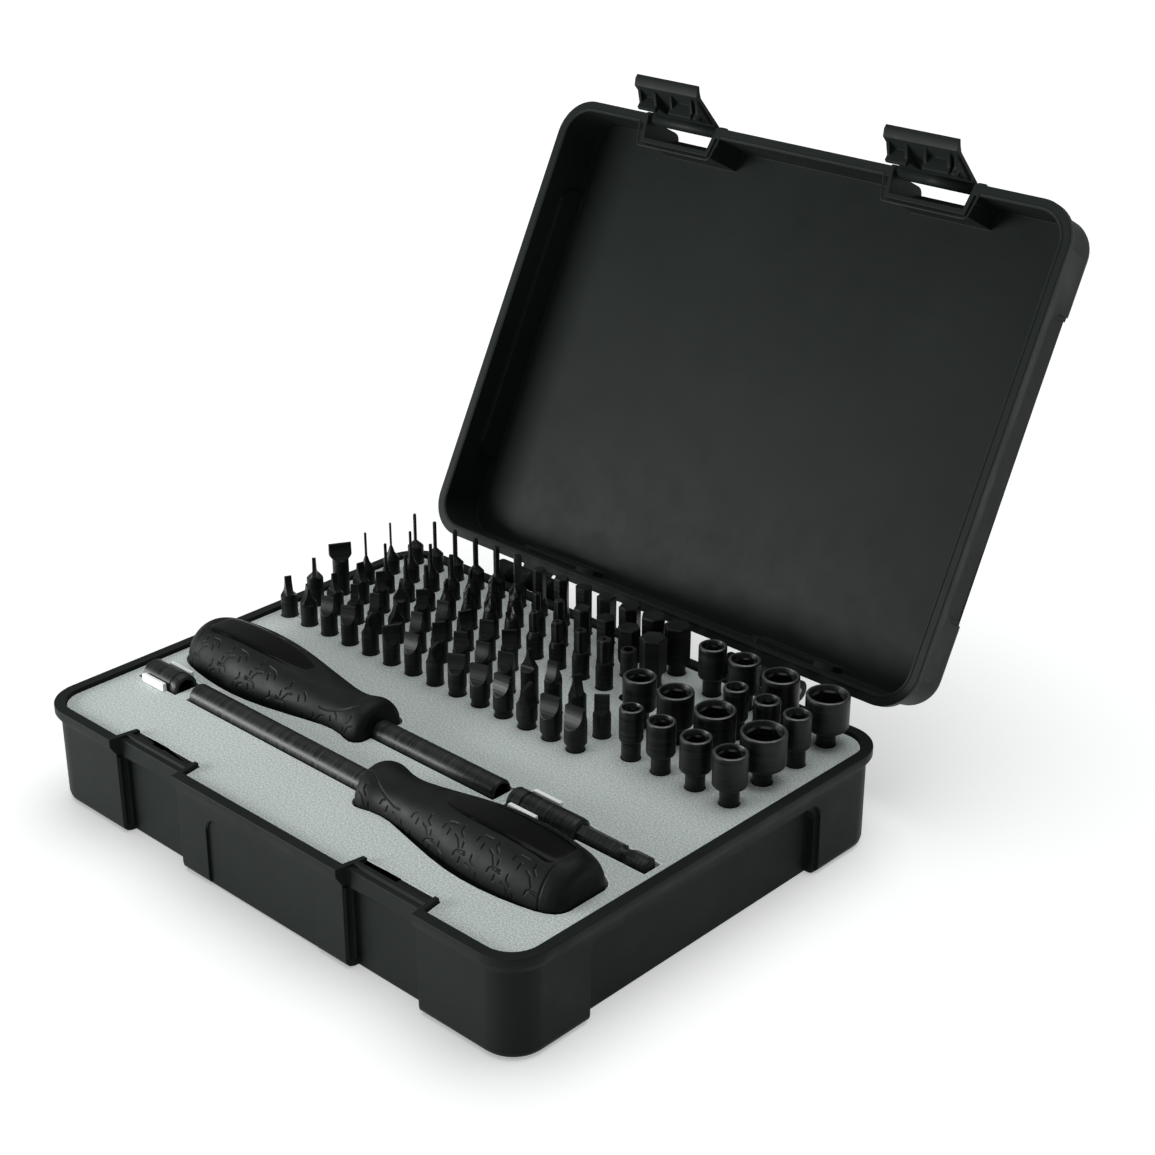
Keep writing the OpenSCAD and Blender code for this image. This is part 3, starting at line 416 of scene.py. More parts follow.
def engraved_strokes():
    """Strokes as segments [s0, v0, s1, v1] in millimetres along and round the grip: a motif of
    broken hexagon outlines repeats in two rows half a step apart, on the far side of a border
    from the inlay, and a line falls from the collar to the waist."""
    motif = [
        [[0, 4.6], [0.5, 3.0], [1.8, 2.0], [5.6, 1.8]], [[3.6, 4.2], [3.2, 6.4]],
        [[6.8, 5.4], [8.8, 6.4], [10.6, 9.4]], [[9.0, 1.6], [8.8, 3.6], [10.6, 5.2]],
        [[10.4, 10.6], [14.2, 11.2]], [[12.0, 7.0], [12.2, 8.8]]]
    segments = []
    for row in range(2):
        for k in range(8):
            for stroke in motif:
                along = MOTIF_START + MOTIF_STEP * (k + row / 2)
                path = np.array(stroke) + [along, ROW_START + ROW_STEP * row]
                ahead = np.hstack([path[:-1], path[1:]])
                segments += [q for q in ahead if ENGRAVED_FROM < q[0] < ENGRAVED_TO
                             and border(q[0]) < min(q[1], q[3])]
    fall = [[2.6, 5.2], [4.6, 4.6], [12, 8.2], [21, 11.4], [24, 11.6]]
    segments += [[*p, *q] for p, q in zip(fall[:-1], fall[1:])]
    return np.array(segments)


def border(s):
    """Upper limit of the engraving at a distance along the grip, measured round from the top:
    straight lines between listed points."""
    return np.interp(s, [0, 4, 12, 21, 30, 45, 93], [6.5, 6.5, 9.4, 12.2, 10.2, 9.3, 9.6])


def stroke_distance(s, v, segments):
    """Distance from each point to the nearest segment: the least distance to the foot of the
    perpendicular, kept on the segment. Beyond the starting 9 mm it no longer matters."""
    nearest = np.full(s.shape, 9.0)
    for s0, v0, s1, v1 in segments:
        ds, dv = s1 - s0, v1 - v0
        t = np.clip(((s - s0) * ds + (v - v0) * dv) / (ds * ds + dv * dv), 0, 1)
        nearest = np.minimum(nearest, np.hypot(s - s0 - t * ds, v - v0 - t * dv))
    return nearest


def flattened(s, z):
    """Height over the axis, levelled under the inlay: a smooth least of the height and a share
    of the radius, ln(exp(-k z) + exp(-k cut)) / -k, faded in over a few millimetres at either
    end of the inlay."""
    k = 4.0
    cut = 0.925 * handle_radius(s)
    level = -np.logaddexp(-k * z, -k * cut) / k
    fade = np.clip(np.minimum(s - INLAY_FROM + 9, INLAY_TO + 4 - s) / 6, 0, 1)
    fade = fade * fade * (3 - 2 * fade)
    return np.where(z > 0, z + (level - z) * fade, z)


def groove(distance, depth, half_width):
    """Depth of a groove at a distance from its middle: a parabola, nothing past the half width."""
    return depth * np.clip(1 - (distance / half_width) ** 2, 0, 1)


def grip(n_along=500, n_top=34, n_flank=56, n_under=42):
    """Surface of revolution of the grip's outline about x. Angles crowd into the engraved
    flanks, and both ends close on the axis over a few shares of the end's radius. The radius
    drops by a groove along each stroke, along the inlay's rim and in a ring at the butt."""
    s = np.linspace(0, HANDLE_LEN, n_along)
    s = np.concatenate([[0.0] * 4, s, [HANDLE_LEN] * 6])
    r = handle_radius(s)
    r[:4] = np.array([0, 0.4, 0.75, 0.96]) * r[4]
    r[-6:] = np.array([0.97, 0.85, 0.65, 0.4, 0.2, 0]) * r[-7]
    under = np.linspace(FLANK_TO, 2 * math.pi - FLANK_TO, n_under)
    flank = np.linspace(FLANK_FROM, FLANK_TO, n_flank, endpoint=False)
    top = np.linspace(-FLANK_FROM, FLANK_FROM, n_top, endpoint=False)
    a = np.concatenate([-flank[::-1], top, flank, under[:-1]])
    s2, a2 = np.meshgrid(s, a, indexing="ij")
    r2 = np.repeat(r[:, None], len(a), 1)
    v2 = np.abs(np.where(a2 > math.pi, a2 - 2 * math.pi, a2)) * handle_radius(s2)
    cut = groove(stroke_distance(s2, v2, engraved_strokes()), *STROKE_CUT)
    rim = np.abs(np.abs(r2 * np.sin(a2)) - inlay_half(s2))
    beside_inlay = (np.cos(a2) > 0) & (s2 > INLAY_FROM - 0.4) & (s2 < INLAY_TO + 0.4)
    cut = np.maximum(cut, np.where(beside_inlay, groove(rim, *RIM_CUT), 0))
    cut = np.maximum(cut, groove(s2 - RING_AT, *RING_CUT))
    r2 = r2 - np.where(r2 > SHAFT_R + 2.5, cut, 0)
    points = np.stack([s2, r2 * np.sin(a2), flattened(s2, r2 * np.cos(a2))], -1)
    return points, grid_faces(len(s), len(a), False, True)


def inlay_surface(n_along=90, n_across=24):
    """Skin over the top of the grip between the inlay's edges: the height is the square root of
    the grip's radius squared less the offset squared, raised a little, and sunk again by high
    powers of the distance towards the edges. Rows crowd towards the inlay's ends and sides
    as a cosine and a sine do."""
    t = (1 - np.cos(np.linspace(0, math.pi, n_along))) / 2
    s = INLAY_FROM + t * (INLAY_TO - INLAY_FROM)
    v = np.sin(np.linspace(-math.pi / 2, math.pi / 2, n_across))
    s2, v2 = np.meshgrid(s, v, indexing="ij")
    y = v2 * inlay_half(s2)
    endwise = 2 * (s2 - INLAY_FROM) / (INLAY_TO - INLAY_FROM) - 1
    lift = INLAY_LIFT - INLAY_SKIN * (np.abs(v2) ** 14 + np.abs(endwise) ** 40)
    z = flattened(s2, np.sqrt(handle_radius(s2) ** 2 - y ** 2))
    upper = np.stack([s2, y, z + lift], -1)
    lower = np.stack([s2, y, z - INLAY_SKIN], -1)
    faces = grid_faces(n_along, n_across)
    rim = np.concatenate([
        np.arange(n_across),
        np.arange(1, n_along) * n_across + n_across - 1,
        (n_along - 1) * n_across + np.arange(n_across - 2, -1, -1),
        np.arange(n_along - 2, 0, -1) * n_across])
    ahead, count = np.roll(rim, -1), n_along * n_across
    wall = np.stack([rim, ahead, ahead + count, rim + count], -1)
    points = np.concatenate([upper.reshape(-1, 3), lower.reshape(-1, 3)])
    return points, np.concatenate([faces, faces + count, wall])


def laid(points, x0, y0, turn):
    """Places a handle modelled along x from its collar face: x and y times the turn, which is 1
    to face right or -1 to face left, plus the place."""
    return points * np.array([turn, turn, 1.0]) + np.array([x0, y0, TOOL_Z])


GRIP, tree, surface, place = shader("grip_elastomer", (0.0042, 0.0050, 0.0048), 0.5, specular=0.12)
wear = ramp(tree, noise(tree, place, 45.0, 5.0, 0.7), [(0.32, grey(0.44)), (0.7, grey(0.62))])
tree.links.new(wear, surface.inputs["Roughness"])
GRIP_DARK, GRIP_LIGHT = (0.0038, 0.0046, 0.0044), (0.0054, 0.0063, 0.0061)
grip_tone = ramp(tree, noise(tree, place, 120.0, 4.0), [(0.35, GRIP_DARK), (0.7, GRIP_LIGHT)])
tree.links.new(grip_tone, surface.inputs["Base Color"])
bump(tree, surface, noise(tree, place, 3200.0, 2.0), 0.03 * MM, 0.3)

INLAY_BLACK = (0.0008, 0.0009, 0.0009)
INLAY, tree, surface, place = shader("inlay_gloss", INLAY_BLACK, 0.2, specular=0.09)
haze = ramp(tree, noise(tree, place, 70.0, 5.0), [(0.35, grey(0.17)), (0.7, grey(0.27))])
tree.links.new(haze, surface.inputs["Roughness"])

grip_points, grip_faces = grip()
inlay_points, inlay_faces = inlay_surface()
DRIVERS = {"long_driver": (LONG_X, LONG_Y, 1), "stubby_driver": (STUBBY_X, STUBBY_Y, -1)}
for tool, spot in DRIVERS.items():
    handle = surface_piece(tool + "_grip", [(laid(grip_points, *spot), grip_faces)], GRIP, 50.0)
    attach(handle, tool)
    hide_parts(tool + "_handle")
    skin = [(laid(inlay_points, *spot), inlay_faces)]
    inlay = surface_piece(tool + "_gloss_inlay", skin, INLAY, 60.0)
    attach(inlay, tool)
    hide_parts(tool + "_inlay")

# ---- Driver shafts and adapters ---------------------------------------------
# These are turned from steel bar and black-oxided. The tool leaves fine rings
# round them, the ends are chamfered, and a hexagon hole with a magnet at its
# bottom takes the bits. The long adapter ends in a quick-change shank.

COS_30 = math.cos(math.pi / 6)
HEX_HALF = 6.35 / 2
# hexagon hole: half its width, its depth, and the radius and end of the magnet's seat below it
DRIVE_HALF = (HEX_HALF / COS_30 + 0.15) * COS_30
HOLE_DEPTH, SEAT_R, SEAT_END = 10.0, 2.42, 13.05
TOOL_SIDES, TOOL_TURN = 96, math.pi / 6


def turned(path, sides, turn=0.0, cut=None):
    """Surface of a path [along, radius, hexness] carried round the z axis: the radius is a round
    one where hexness is 0, and a hexagon's half width over the cosine of the angle from the
    nearest flat where it is 1. Where cut is given, it takes the places along the path and the
    angles round it, and gives the share of the radius that is cut away."""
    along, r, hexness = np.array(path, float).T
    a = np.arange(sides) * 2 * math.pi / sides
    flat = (a + math.pi / 6) % (math.pi / 3) - math.pi / 6
    radius = r[:, None] * ((1 - hexness[:, None]) + hexness[:, None] / np.cos(flat)[None, :])
    if cut:
        radius = radius * (1 - cut(along[:, None], a[None, :]))
    points = np.stack([
        radius * np.cos(a + turn)[None, :], radius * np.sin(a + turn)[None, :],
        np.repeat(along[:, None], sides, 1)], -1)
    return points, grid_faces(len(along), sides, False, True)


def drive_hole(end, step):
    """Path of a hexagon hole from the end face inwards, along the step of 1 or -1: a lead-in,
    the flats, and the magnet's seat."""
    floor, seat = end + step * HOLE_DEPTH, end + step * SEAT_END
    return [[end, DRIVE_HALF + 0.75, 0], [end + step * 0.55, DRIVE_HALF, 1],
            [floor, DRIVE_HALF, 1], [floor, SEAT_R, 0], [seat, SEAT_R, 0], [seat, 0, 0]]


def ringed(start, end, radius, pitch, depth, seed):
    """Path of a bar between two places with fine tool rings a pitch apart: every other ring is
    a shallow dip, whose depth is drawn evenly from the seed."""
    draw = np.random.default_rng(seed)
    rings = np.arange(start, end, pitch if end > start else -pitch)[1:]
    dips = depth * draw.uniform(0.15, 1.0, len(rings))
    dips[1::2] = 0
    marks = [[x, radius - dip, 0] for x, dip in zip(rings, dips)]
    return [[start, radius, 0]] + marks + [[end, radius, 0]]


def black_oxide(name, scale_along, axis, light=0.015):
    """Black-oxided steel with turning marks: noise stretched into rings square to the tool's
    axis, which shade the colour up to the light value, the gloss and the surface."""
    material, tree, surface, place = shader(
        name, (0.012, 0.013, 0.013), 0.4, metallic=0.5, specular=0.3)
    stretch = tree.nodes.new("ShaderNodeMapping")
    scale = [30.0, 30.0, 30.0]
    scale[axis] = scale_along
    stretch.inputs["Scale"].default_value = scale
    tree.links.new(place, stretch.inputs["Vector"])
    marks = noise(tree, stretch.outputs["Vector"], 1.0, 4.0, 0.7)
    gloss = ramp(tree, marks, [(0.3, grey(0.30)), (0.7, grey(0.52))])
    tree.links.new(gloss, surface.inputs["Roughness"])
    oxide_dark, oxide_light = (0.0036, 0.0041, 0.0041), (light, light * 1.06, light * 1.06)
    tone = ramp(tree, marks, [(0.34, oxide_dark), (0.68, oxide_light)])
    tree.links.new(tone, surface.inputs["Base Color"])
    rings = bump(tree, surface, marks, 0.14 * MM, 0.6)
    bump(tree, surface, noise(tree, place, 1800.0, 2.0), 0.02 * MM, 0.3, rings)
    return material


BAR_STEEL = black_oxide("black_oxide_bar", 1150.0, 0, light=0.030)


def along_x(points, x0, y0, turn):
    """Lays a piece turned about z along x from its origin, towards the right (turn 1) or the
    left (turn -1): z goes along x times the turn, and x points up."""
    x, y, z = points[..., 0], points[..., 1], points[..., 2]
    return np.stack([x0 + turn * z, y0 + turn * y, TOOL_Z + x], -1)


def bar_piece(name, path, x0, y0, turn, body, node):
    """A tool of black-oxided bar, turned from a path and laid in the case."""
    points, faces = turned(path, TOOL_SIDES, TOOL_TURN)
    piece = surface_piece(name, [(along_x(points, x0, y0, turn), faces)], BAR_STEEL, 30.0)
    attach(piece, body)
    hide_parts(node)


# each shaft starts a little inside its grip and stands this far out of it
BARE, IN_GRIP = {"long_driver": 103.0, "stubby_driver": 65.0}, 3.0
RING_PITCH, RING_DEPTH = 0.85, 0.13
for tool, (x0, y0, facing) in DRIVERS.items():
    end = BARE[tool]
    path = [[-IN_GRIP, 0, 0]] + ringed(-IN_GRIP, end - 0.9, SHAFT_R, RING_PITCH, RING_DEPTH, 3)
    path += [[end - 0.35, SHAFT_R - 0.3, 0], [end, SHAFT_R - 0.8, 0]] + drive_hole(end, -1)
    bar_piece(tool + "_bar", path, x0, y0, -facing, tool, tool + "_shaft")

# the short adapter: rounded closed end, ringed body, groove near the mouth, chamfer and hole
SHORT_X, SHORT_LEN, SHORT_R, GROOVE_DEPTH = -97.0, 22.0, 5.5, 0.35
path = [[-SHORT_LEN, 0, 0], [-SHORT_LEN, 4.2, 0], [0.4 - SHORT_LEN, 4.9, 0],
        [1.2 - SHORT_LEN, SHORT_R, 0]]
path += ringed(1.4 - SHORT_LEN, -4.6, SHORT_R, 0.8, 0.1, 5)
path += [[-4.4, SHORT_R - GROOVE_DEPTH, 0], [-3.4, SHORT_R - GROOVE_DEPTH, 0], [-3.2, SHORT_R, 0],
         [-0.8, SHORT_R, 0], [-0.25, SHORT_R - 0.3, 0], [0, SHORT_R - 0.7, 0]]
bar_piece("short_adapter_body", path + drive_hole(0, -1), SHORT_X, LONG_Y, 1,
          "short_adapter", "short_adapter")

# the long adapter: hole and chamfer, finely ringed collar, groove, ringed body, then the hexagon
# shank with its catch groove and its broken end
LONG_ADAPTER_X, LONG_R, BODY, END = 55.5, 5.2, 33.0, 65.0
COLLAR_END, CATCH_R, SHANK_DIP = 6.2, 2.6, 0.04
path = drive_hole(0, 1)[::-1] + [[0, LONG_R - 0.7, 0], [0.3, LONG_R - 0.25, 0], [0.9, LONG_R, 0]]
path += ringed(1.0, COLLAR_END, LONG_R, 0.42, 0.05, 7)
path += [[6.4, LONG_R - GROOVE_DEPTH, 0], [7.2, LONG_R - GROOVE_DEPTH, 0], [7.4, LONG_R, 0]]
path += ringed(7.6, BODY - 2.4, LONG_R, 0.8, 0.1, 8)
path += [[BODY - 0.8, LONG_R - 0.2, 0], [BODY, 4.0, 0], [BODY, HEX_HALF, 1]]
shank = np.linspace(BODY + 0.6, END - 13.2, 30)
dips = SHANK_DIP * np.random.default_rng(9).uniform(0, 1, 30)
path += [[x, HEX_HALF - dip, 1] for x, dip in zip(shank, dips)]
path += [[END - 13, HEX_HALF, 1], [END - 11.8, CATCH_R, 0], [END - 9.8, CATCH_R, 0],
         [END - 8.6, HEX_HALF, 1], [END - 1.3, HEX_HALF, 1], [END - 0.4, HEX_HALF - 0.5, 0.6],
         [END, HEX_HALF - 1.0, 0.2], [END, 0, 0]]
bar_piece("long_adapter_body", path, LONG_ADAPTER_X, STUBBY_Y, 1, "long_adapter", "long_adapter")

MAGNET, tree, surface, place = shader("magnet_nickel", (0.5, 0.5, 0.48), 0.3, metallic=1.0)
plated = ramp(tree, noise(tree, place, 600.0, 4.0), [(0.3, grey(0.22)), (0.7, grey(0.4))])
tree.links.new(plated, surface.inputs["Roughness"])
for tool in ("long_driver", "stubby_driver", "short_adapter", "long_adapter"):
    magnet = frame["nodes"][tool + "_magnet"]
    magnet.data.materials.clear()
    magnet.data.materials.append(MAGNET)

# ---- Adapter clips ----------------------------------------------------------
# Each adapter snaps between the arms of a pale moulded clip that is pressed
# into the foam.

CLIP_EDGE = 0.4
CLIP_DARK, CLIP_PALE = (0.70, 0.74, 0.72), (0.82, 0.85, 0.84)
CLIP, tree, surface, place = shader("clip_plastic", (0.74, 0.78, 0.76), 0.42, specular=0.45)
milky = ramp(tree, noise(tree, place, 80.0, 4.0), [(0.3, CLIP_DARK), (0.7, CLIP_PALE)])
tree.links.new(milky, surface.inputs["Base Color"])
bump(tree, surface, noise(tree, place, 1400.0, 2.0), 0.03 * MM, 0.3)
for node in ("short_adapter_clip", "long_adapter_clip"):
    clip = moulded(node, node + "_arms", CLIP_EDGE, "case_base", CLIP)

# ---- Bits -------------------------------------------------------------------
# Each bit is hexagon bar turned down and black-oxided, with its tip ground or
# forged: hollow-ground flat blades, needles, cross, star and hexagon tips.

BIT_STEEL = black_oxide("black_oxide_bits", 1500.0, 2)
# spacing of the columns and rows, with the first column's x and the sixth row's y
PITCH, ROW_PITCH, FIRST_X, LAST_ROW_Y = 12.7, 14.4, -118.9, 89.3
# depth of a bit in the foam, of the start of its round body, and the body's size
SUNK, ROOT_IN, BIT_D = 7.5, 2.0, 7.2
BODY_R, RELIEF_R = BIT_D / 2 - 0.1, 3.35
HEX_ROOT = HEX_HALF - 0.2 * COS_30
# radius of the hollow grinding, then in distances below the tip: where the flat blade ends,
# where it starts to widen to the body, and over which length
GRIND, BLADE, FLARE, FLARE_RUN = 11.0, 9.0, 7.0, 2.0


def column(i):
    """Place along x of a column, counted from 1 at the left."""
    return FIRST_X + (i - 1) * PITCH


def row(i):
    """Place along y of a row, counted from 1 at the front to 6 at the back."""
    return LAST_ROW_Y - (6 - i) * ROW_PITCH


def standing(points, x, y, turn=0.0):
    """Turns a piece about its upright axis by an angle in degrees, a plane rotation of x and y,
    and stands it at a place in the foam."""
    c, s = math.cos(math.radians(turn)), math.sin(math.radians(turn))
    px, py, pz = points[..., 0], points[..., 1], points[..., 2]
    return np.stack([x + c * px - s * py, y + s * px + c * py, TOOL_Z + pz], -1)


def root(body, neck):
    """Path of the lower part of a bit: hexagon shank, then round body, which widens to a thicker
    one at the neck where the bit has one."""
    path = [[-SUNK, 0, 1], [-SUNK, HEX_ROOT, 1], [-ROOT_IN - 0.05, HEX_ROOT, 1],
            [-ROOT_IN, BODY_R, 0]]
    if body > BIT_D / 2:
        path += [[neck - 0.5, BODY_R, 0], [neck, body - 0.1, 0]]
    return path


def flat_bit(width, thick, height, turn, body_d):
    """Round bar of the body's radius cut by two hollows and to the blade's width: each point of
    the circle keeps its place but is limited to half the width along x and, along y, to half
    the thickness plus the depth of a ground cylinder at its distance below the tip. Below the
    blade the limit along x opens as a square. A wide blade flares out above the body."""
    sides = 72
    flare = width > body_d
    body = body_d / 2 - 0.1
    span = 14.0 if flare else 11.0
    z = np.linspace(height - span + 0.2, height, 52)
    if body_d > BIT_D:
        z = np.concatenate([np.linspace(3.2, height - span, 5), z])
    else:
        z = np.concatenate([np.linspace(0.3, height - span, 6), z])
    widen = np.clip((z - height + FLARE) / FLARE_RUN, 0, 1) if flare else np.zeros(len(z))
    r = body + (width / 2 + 0.1 - body) * widen
    below = height - z
    ground = np.sqrt(np.clip(GRIND ** 2 - np.minimum(below, GRIND) ** 2, 0, None))
    hollow = thick / 2 + GRIND - ground
    opening = np.clip(below - FLARE, 0, FLARE_RUN) ** 2 * 0.6
    limit_x = np.where(below < BLADE, width / 2 + opening, np.maximum(width / 2, body + 1))
    z, r = np.append(z, height), np.append(r, r[-1])
    hollow, limit_x = np.append(hollow, thick / 2), np.append(limit_x, width / 2)
    a = np.arange(sides) * 2 * math.pi / sides
    x = np.clip(r[:, None] * np.cos(a)[None, :], -limit_x[:, None], limit_x[:, None])
    y = np.clip(r[:, None] * np.sin(a)[None, :], -hollow[:, None], hollow[:, None])
    x[-1], y[-1] = 0, 0
    blade = np.stack([x, y, np.repeat(z[:, None], sides, 1)], -1)
    stem = turned(root(body_d / 2, 3.0), sides)[0]
    c, s = math.cos(math.radians(turn)), math.sin(math.radians(turn))
    points = np.concatenate([stem, blade]) @ np.array([[c, s, 0], [-s, c, 0], [0, 0, 1]])
    return points, grid_faces(len(points), sides, False, True)


def needle(tip, height):
    """Path turned on z: the round body, a short relief, a long cone and a thin round pin whose
    end is slightly chamfered."""
    pin = tip / 2
    path = root(BIT_D / 2, 1.0) + [
        [6.2, BODY_R, 0], [6.6, RELIEF_R, 0], [9.6, 1.45, 0], [10.4, 1.25, 0], [12.6, pin, 0],
        [height - 0.15, pin, 0], [height, pin - 0.12, 0], [height, 0, 0]]
    return turned(path, 48)


def lobes(count, power, depth_at):
    """Share of the radius that flutes cut away: half of one less the cosine of count times the
    angle, to a power, times a depth that depends on the height."""
    return lambda z, a: depth_at(z) * ((1 - np.cos(count * a)) / 2) ** power


def cross_bit(tip, height):
    """Round body, a relief and a cone, then a straight shoulder and a pointed nose, both cut by
    four flutes whose depth grows as a power of the height above their start."""
    shoulder, point = tip / 2 + 0.9, 0.18 * tip + 0.2
    flutes_from, flutes_run = height - 5.4, 3.4
    upper = [[z, shoulder, 0] for z in np.linspace(11.6, height - 2.1, 8)]
    nose = [[z, shoulder + (point - shoulder) * t, 0] for t, z in
            zip(np.linspace(0.06, 1, 12), np.linspace(height - 2.0, height, 12))]
    path = root(BIT_D / 2, 1.0) + [
        [7.6, BODY_R, 0], [8.0, RELIEF_R, 0], [11.2, shoulder + 0.15, 0]]
    path += upper + nose + [[height, 0, 0]]
    return turned(path, 96, cut=lobes(
        4, 0.55, lambda z: 0.66 * np.clip((z - flutes_from) / flutes_run, 0, 1) ** 0.6))


def star_bit(tip, height, pin):
    """Round body, a relief and a cone, then a straight tip cut by six lobes of one depth, and
    drilled in its end to the pin's size where that isn't zero."""
    collar = min(BIT_D / 2 - 0.3, tip / 2 + 0.3)
    path = root(BIT_D / 2, 1.0) + [[8.7, BODY_R, 0], [9.1, RELIEF_R, 0], [11.3, collar, 0]]
    path += [[11.5, tip / 2, 0], [height - 0.35, tip / 2, 0], [height, tip / 2 - 0.3, 0]]
    if pin:
        path += [[height, pin / 2, 0], [height - 3, pin / 2, 0], [height - 3, 0, 0]]
    else:
        path += [[height, 0, 0]]
    return turned(path, 96, cut=lobes(6, 0.8, lambda z: np.where(z > 11.4, 0.2, 0.0)))


def hex_bit(across, height, neck):
    """Round body, then a hexagon tip with a chamfered end. A tip much thinner than the body
    starts from a short cone, a thicker one straight away."""
    half = across / 2
    path = root(BIT_D / 2, 1.0) + [[neck - 0.35, BODY_R, 0], [neck, 3.2, 0]]
    if across < BIT_D - 1:
        path += [[neck + 2.4, half * 1.08, 0.4], [neck + 2.6, half, 1]]
    else:
        path += [[neck, half - 0.1, 1]]
    path += [[height - 0.5, half, 1], [height, half - 0.35, 0.8], [height, 0, 0]]
    return turned(path, 48)


# by row, each from the left: [width, thickness, height over the foam, turn, body diameter]
FLAT_BITS = {
    1: [[2.9, 0.9, 17.5, 65, 7.2], [5.4, 1.0, 17, 150, 7.2], [5.6, 1.0, 16.5, 20, 7.2],
        [6.2, 1.1, 16.5, 25, 7.2], [6.4, 1.1, 16.5, 120, 7.2], [6.8, 1.2, 16.5, 60, 7.2],
        [6.6, 1.3, 17, 12, 7.2], [6.8, 1.3, 16.5, 110, 7.2], [7, 1.4, 17, 30, 7.6],
        [7.6, 1.5, 17, 18, 8.2], [7.8, 1.6, 17, 5, 8.2], [8, 1.7, 17, 110, 8.4],
        [8.4, 1.8, 17.5, 12, 8.8], [8.8, 2.0, 17.5, 4, 9]],
    2: [[1.6, 0.7, 21, 45, 7.2], [2.4, 0.8, 18, 75, 7.2], [3.2, 0.8, 17, 40, 7.2],
        [4, 0.9, 17, 30, 7.2], [4.6, 0.9, 17, 150, 7.2], [5, 1.0, 17, 20, 7.2],
        [5.4, 1.0, 17, 60, 7.2], [5.6, 1.1, 17, 35, 7.2], [6, 1.2, 17, 15, 7.2],
        [6.4, 1.2, 17, 25, 7.2], [2.6, 0.9, 23, 100, 7.2], [4.4, 1.2, 22, 10, 7.2],
        [3.4, 1.2, 21, 65, 7.2], [5.8, 1.6, 17, 40, 7.2]],
    3: [[9.6, 1.1, 23, 60, 7.2], [3.2, 0.8, 18, 80, 7.2], [3.8, 0.9, 18, 60, 7.2],
        [4.4, 0.9, 18, 130, 7.2], [4.8, 1.0, 18, 50, 7.2], [5.2, 1.0, 17, 20, 7.2],
        [5.6, 1.1, 17, 70, 7.2], [5.8, 1.1, 17, 30, 7.2], [6, 1.2, 17, 45, 7.2]]}
# [column, row, tip size, height over the foam]
NEEDLES = [[1, 4, 1.1, 23.2], [2, 4, 1.3, 22], [3, 4, 1.6, 21], [4, 4, 2.0, 20],
           [1, 5, 1.0, 23.2], [2, 5, 1.2, 23], [3, 5, 1.5, 21], [4, 5, 1.9, 20]]
CROSSES = [[5, 4, 2.2, 18], [6, 4, 2.8, 18], [7, 4, 3.4, 18], [8, 4, 4.2, 18],
           [5, 5, 2.2, 18], [6, 5, 2.8, 18], [7, 5, 3.6, 18]]
STARS = [[8, 5, 3.3, 19], [9, 5, 4.4, 20]]
PINNED = [[9, 4, 4.0, 20], [10, 4, 4.8, 20], [11, 4, 5.6, 20.5], [12, 4, 6.4, 21]]
LARGE_HEX = [[10, 5, 6.4, 21], [11, 5, 7.2, 21], [12, 5, 8.2, 21], [13, 5, 9.6, 21]]
# width across the flats of the sixth row's tips; the thin ones stand higher on a longer body
HEX_KEYS = [1.3, 1.6, 1.8, 2.0, 2.5, 3.2, 4.8, 5.6, 6.6, 7.1, 7.9, 9.0, 9.6]


THIN_KEYS, THIN_KEY_H, THIN_KEY_NECK, KEY_H, KEY_NECK = 6, 23, 8, 21, 5
# the slim nut spinner: its stem, its head and height, its hexagon's half width and floor
STEM, HEAD_R, SPIN_H, SPIN_HALF, SPIN_FLOOR = 2.3, 3.2, 21.0, 1.8, 15.0


def at(made, i, r, turn=0.0):
    """A made bit stood at its column and row."""
    points, faces = made
    return standing(points, column(i), row(r), turn), faces


spinner = [
    [-SUNK, 0, 0], [-SUNK, STEM, 0], [-ROOT_IN, STEM, 0], [-ROOT_IN, BODY_R, 0], [0, BODY_R, 0],
    [0, STEM, 0], [9, STEM, 0], [12, HEAD_R, 0], [SPIN_H - 0.4, HEAD_R, 0],
    [SPIN_H, HEAD_R - 0.3, 0], [SPIN_H, SPIN_HALF + 0.15, 0], [SPIN_H - 0.4, SPIN_HALF, 1],
    [SPIN_FLOOR, SPIN_HALF, 1], [SPIN_FLOOR, 0, 0]]
groups = {}
for r, blades in FLAT_BITS.items():
    groups["flat_bits_row_%d" % r] = [at(flat_bit(*b), i, r) for i, b in enumerate(blades, 1)]
groups["needle_bits"] = [at(needle(tip, h), i, r) for i, r, tip, h in NEEDLES]
groups["cross_bits"] = [at(cross_bit(tip, h), i, r, 20 * i) for i, r, tip, h in CROSSES]
groups["star_bits"] = [at(star_bit(tip, h, 0), i, r) for i, r, tip, h in STARS]
groups["pinned_star_bits"] = [at(star_bit(tip, h, 0.3 * tip), i, r) for i, r, tip, h in PINNED]
groups["spanner_bit"] = [at(turned(spinner, 60), 13, 4)]
groups["large_hex_bits"] = [at(hex_bit(af, h, 6), i, r, 30 + 12 * i) for i, r, af, h in LARGE_HEX]
groups["hex_key_bits"] = []
for i, af in enumerate(HEX_KEYS):
    key = hex_bit(af, *((THIN_KEY_H, THIN_KEY_NECK) if i < THIN_KEYS else (KEY_H, KEY_NECK)))
    groups["hex_key_bits"].append(at(key, i + 1, 6, 30 + 17 * i))
for node, parts in groups.items():
    bits = surface_piece(node + "_ground", parts, BIT_STEEL, 28.0)
    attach(bits, "case_base")
    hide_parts(node)
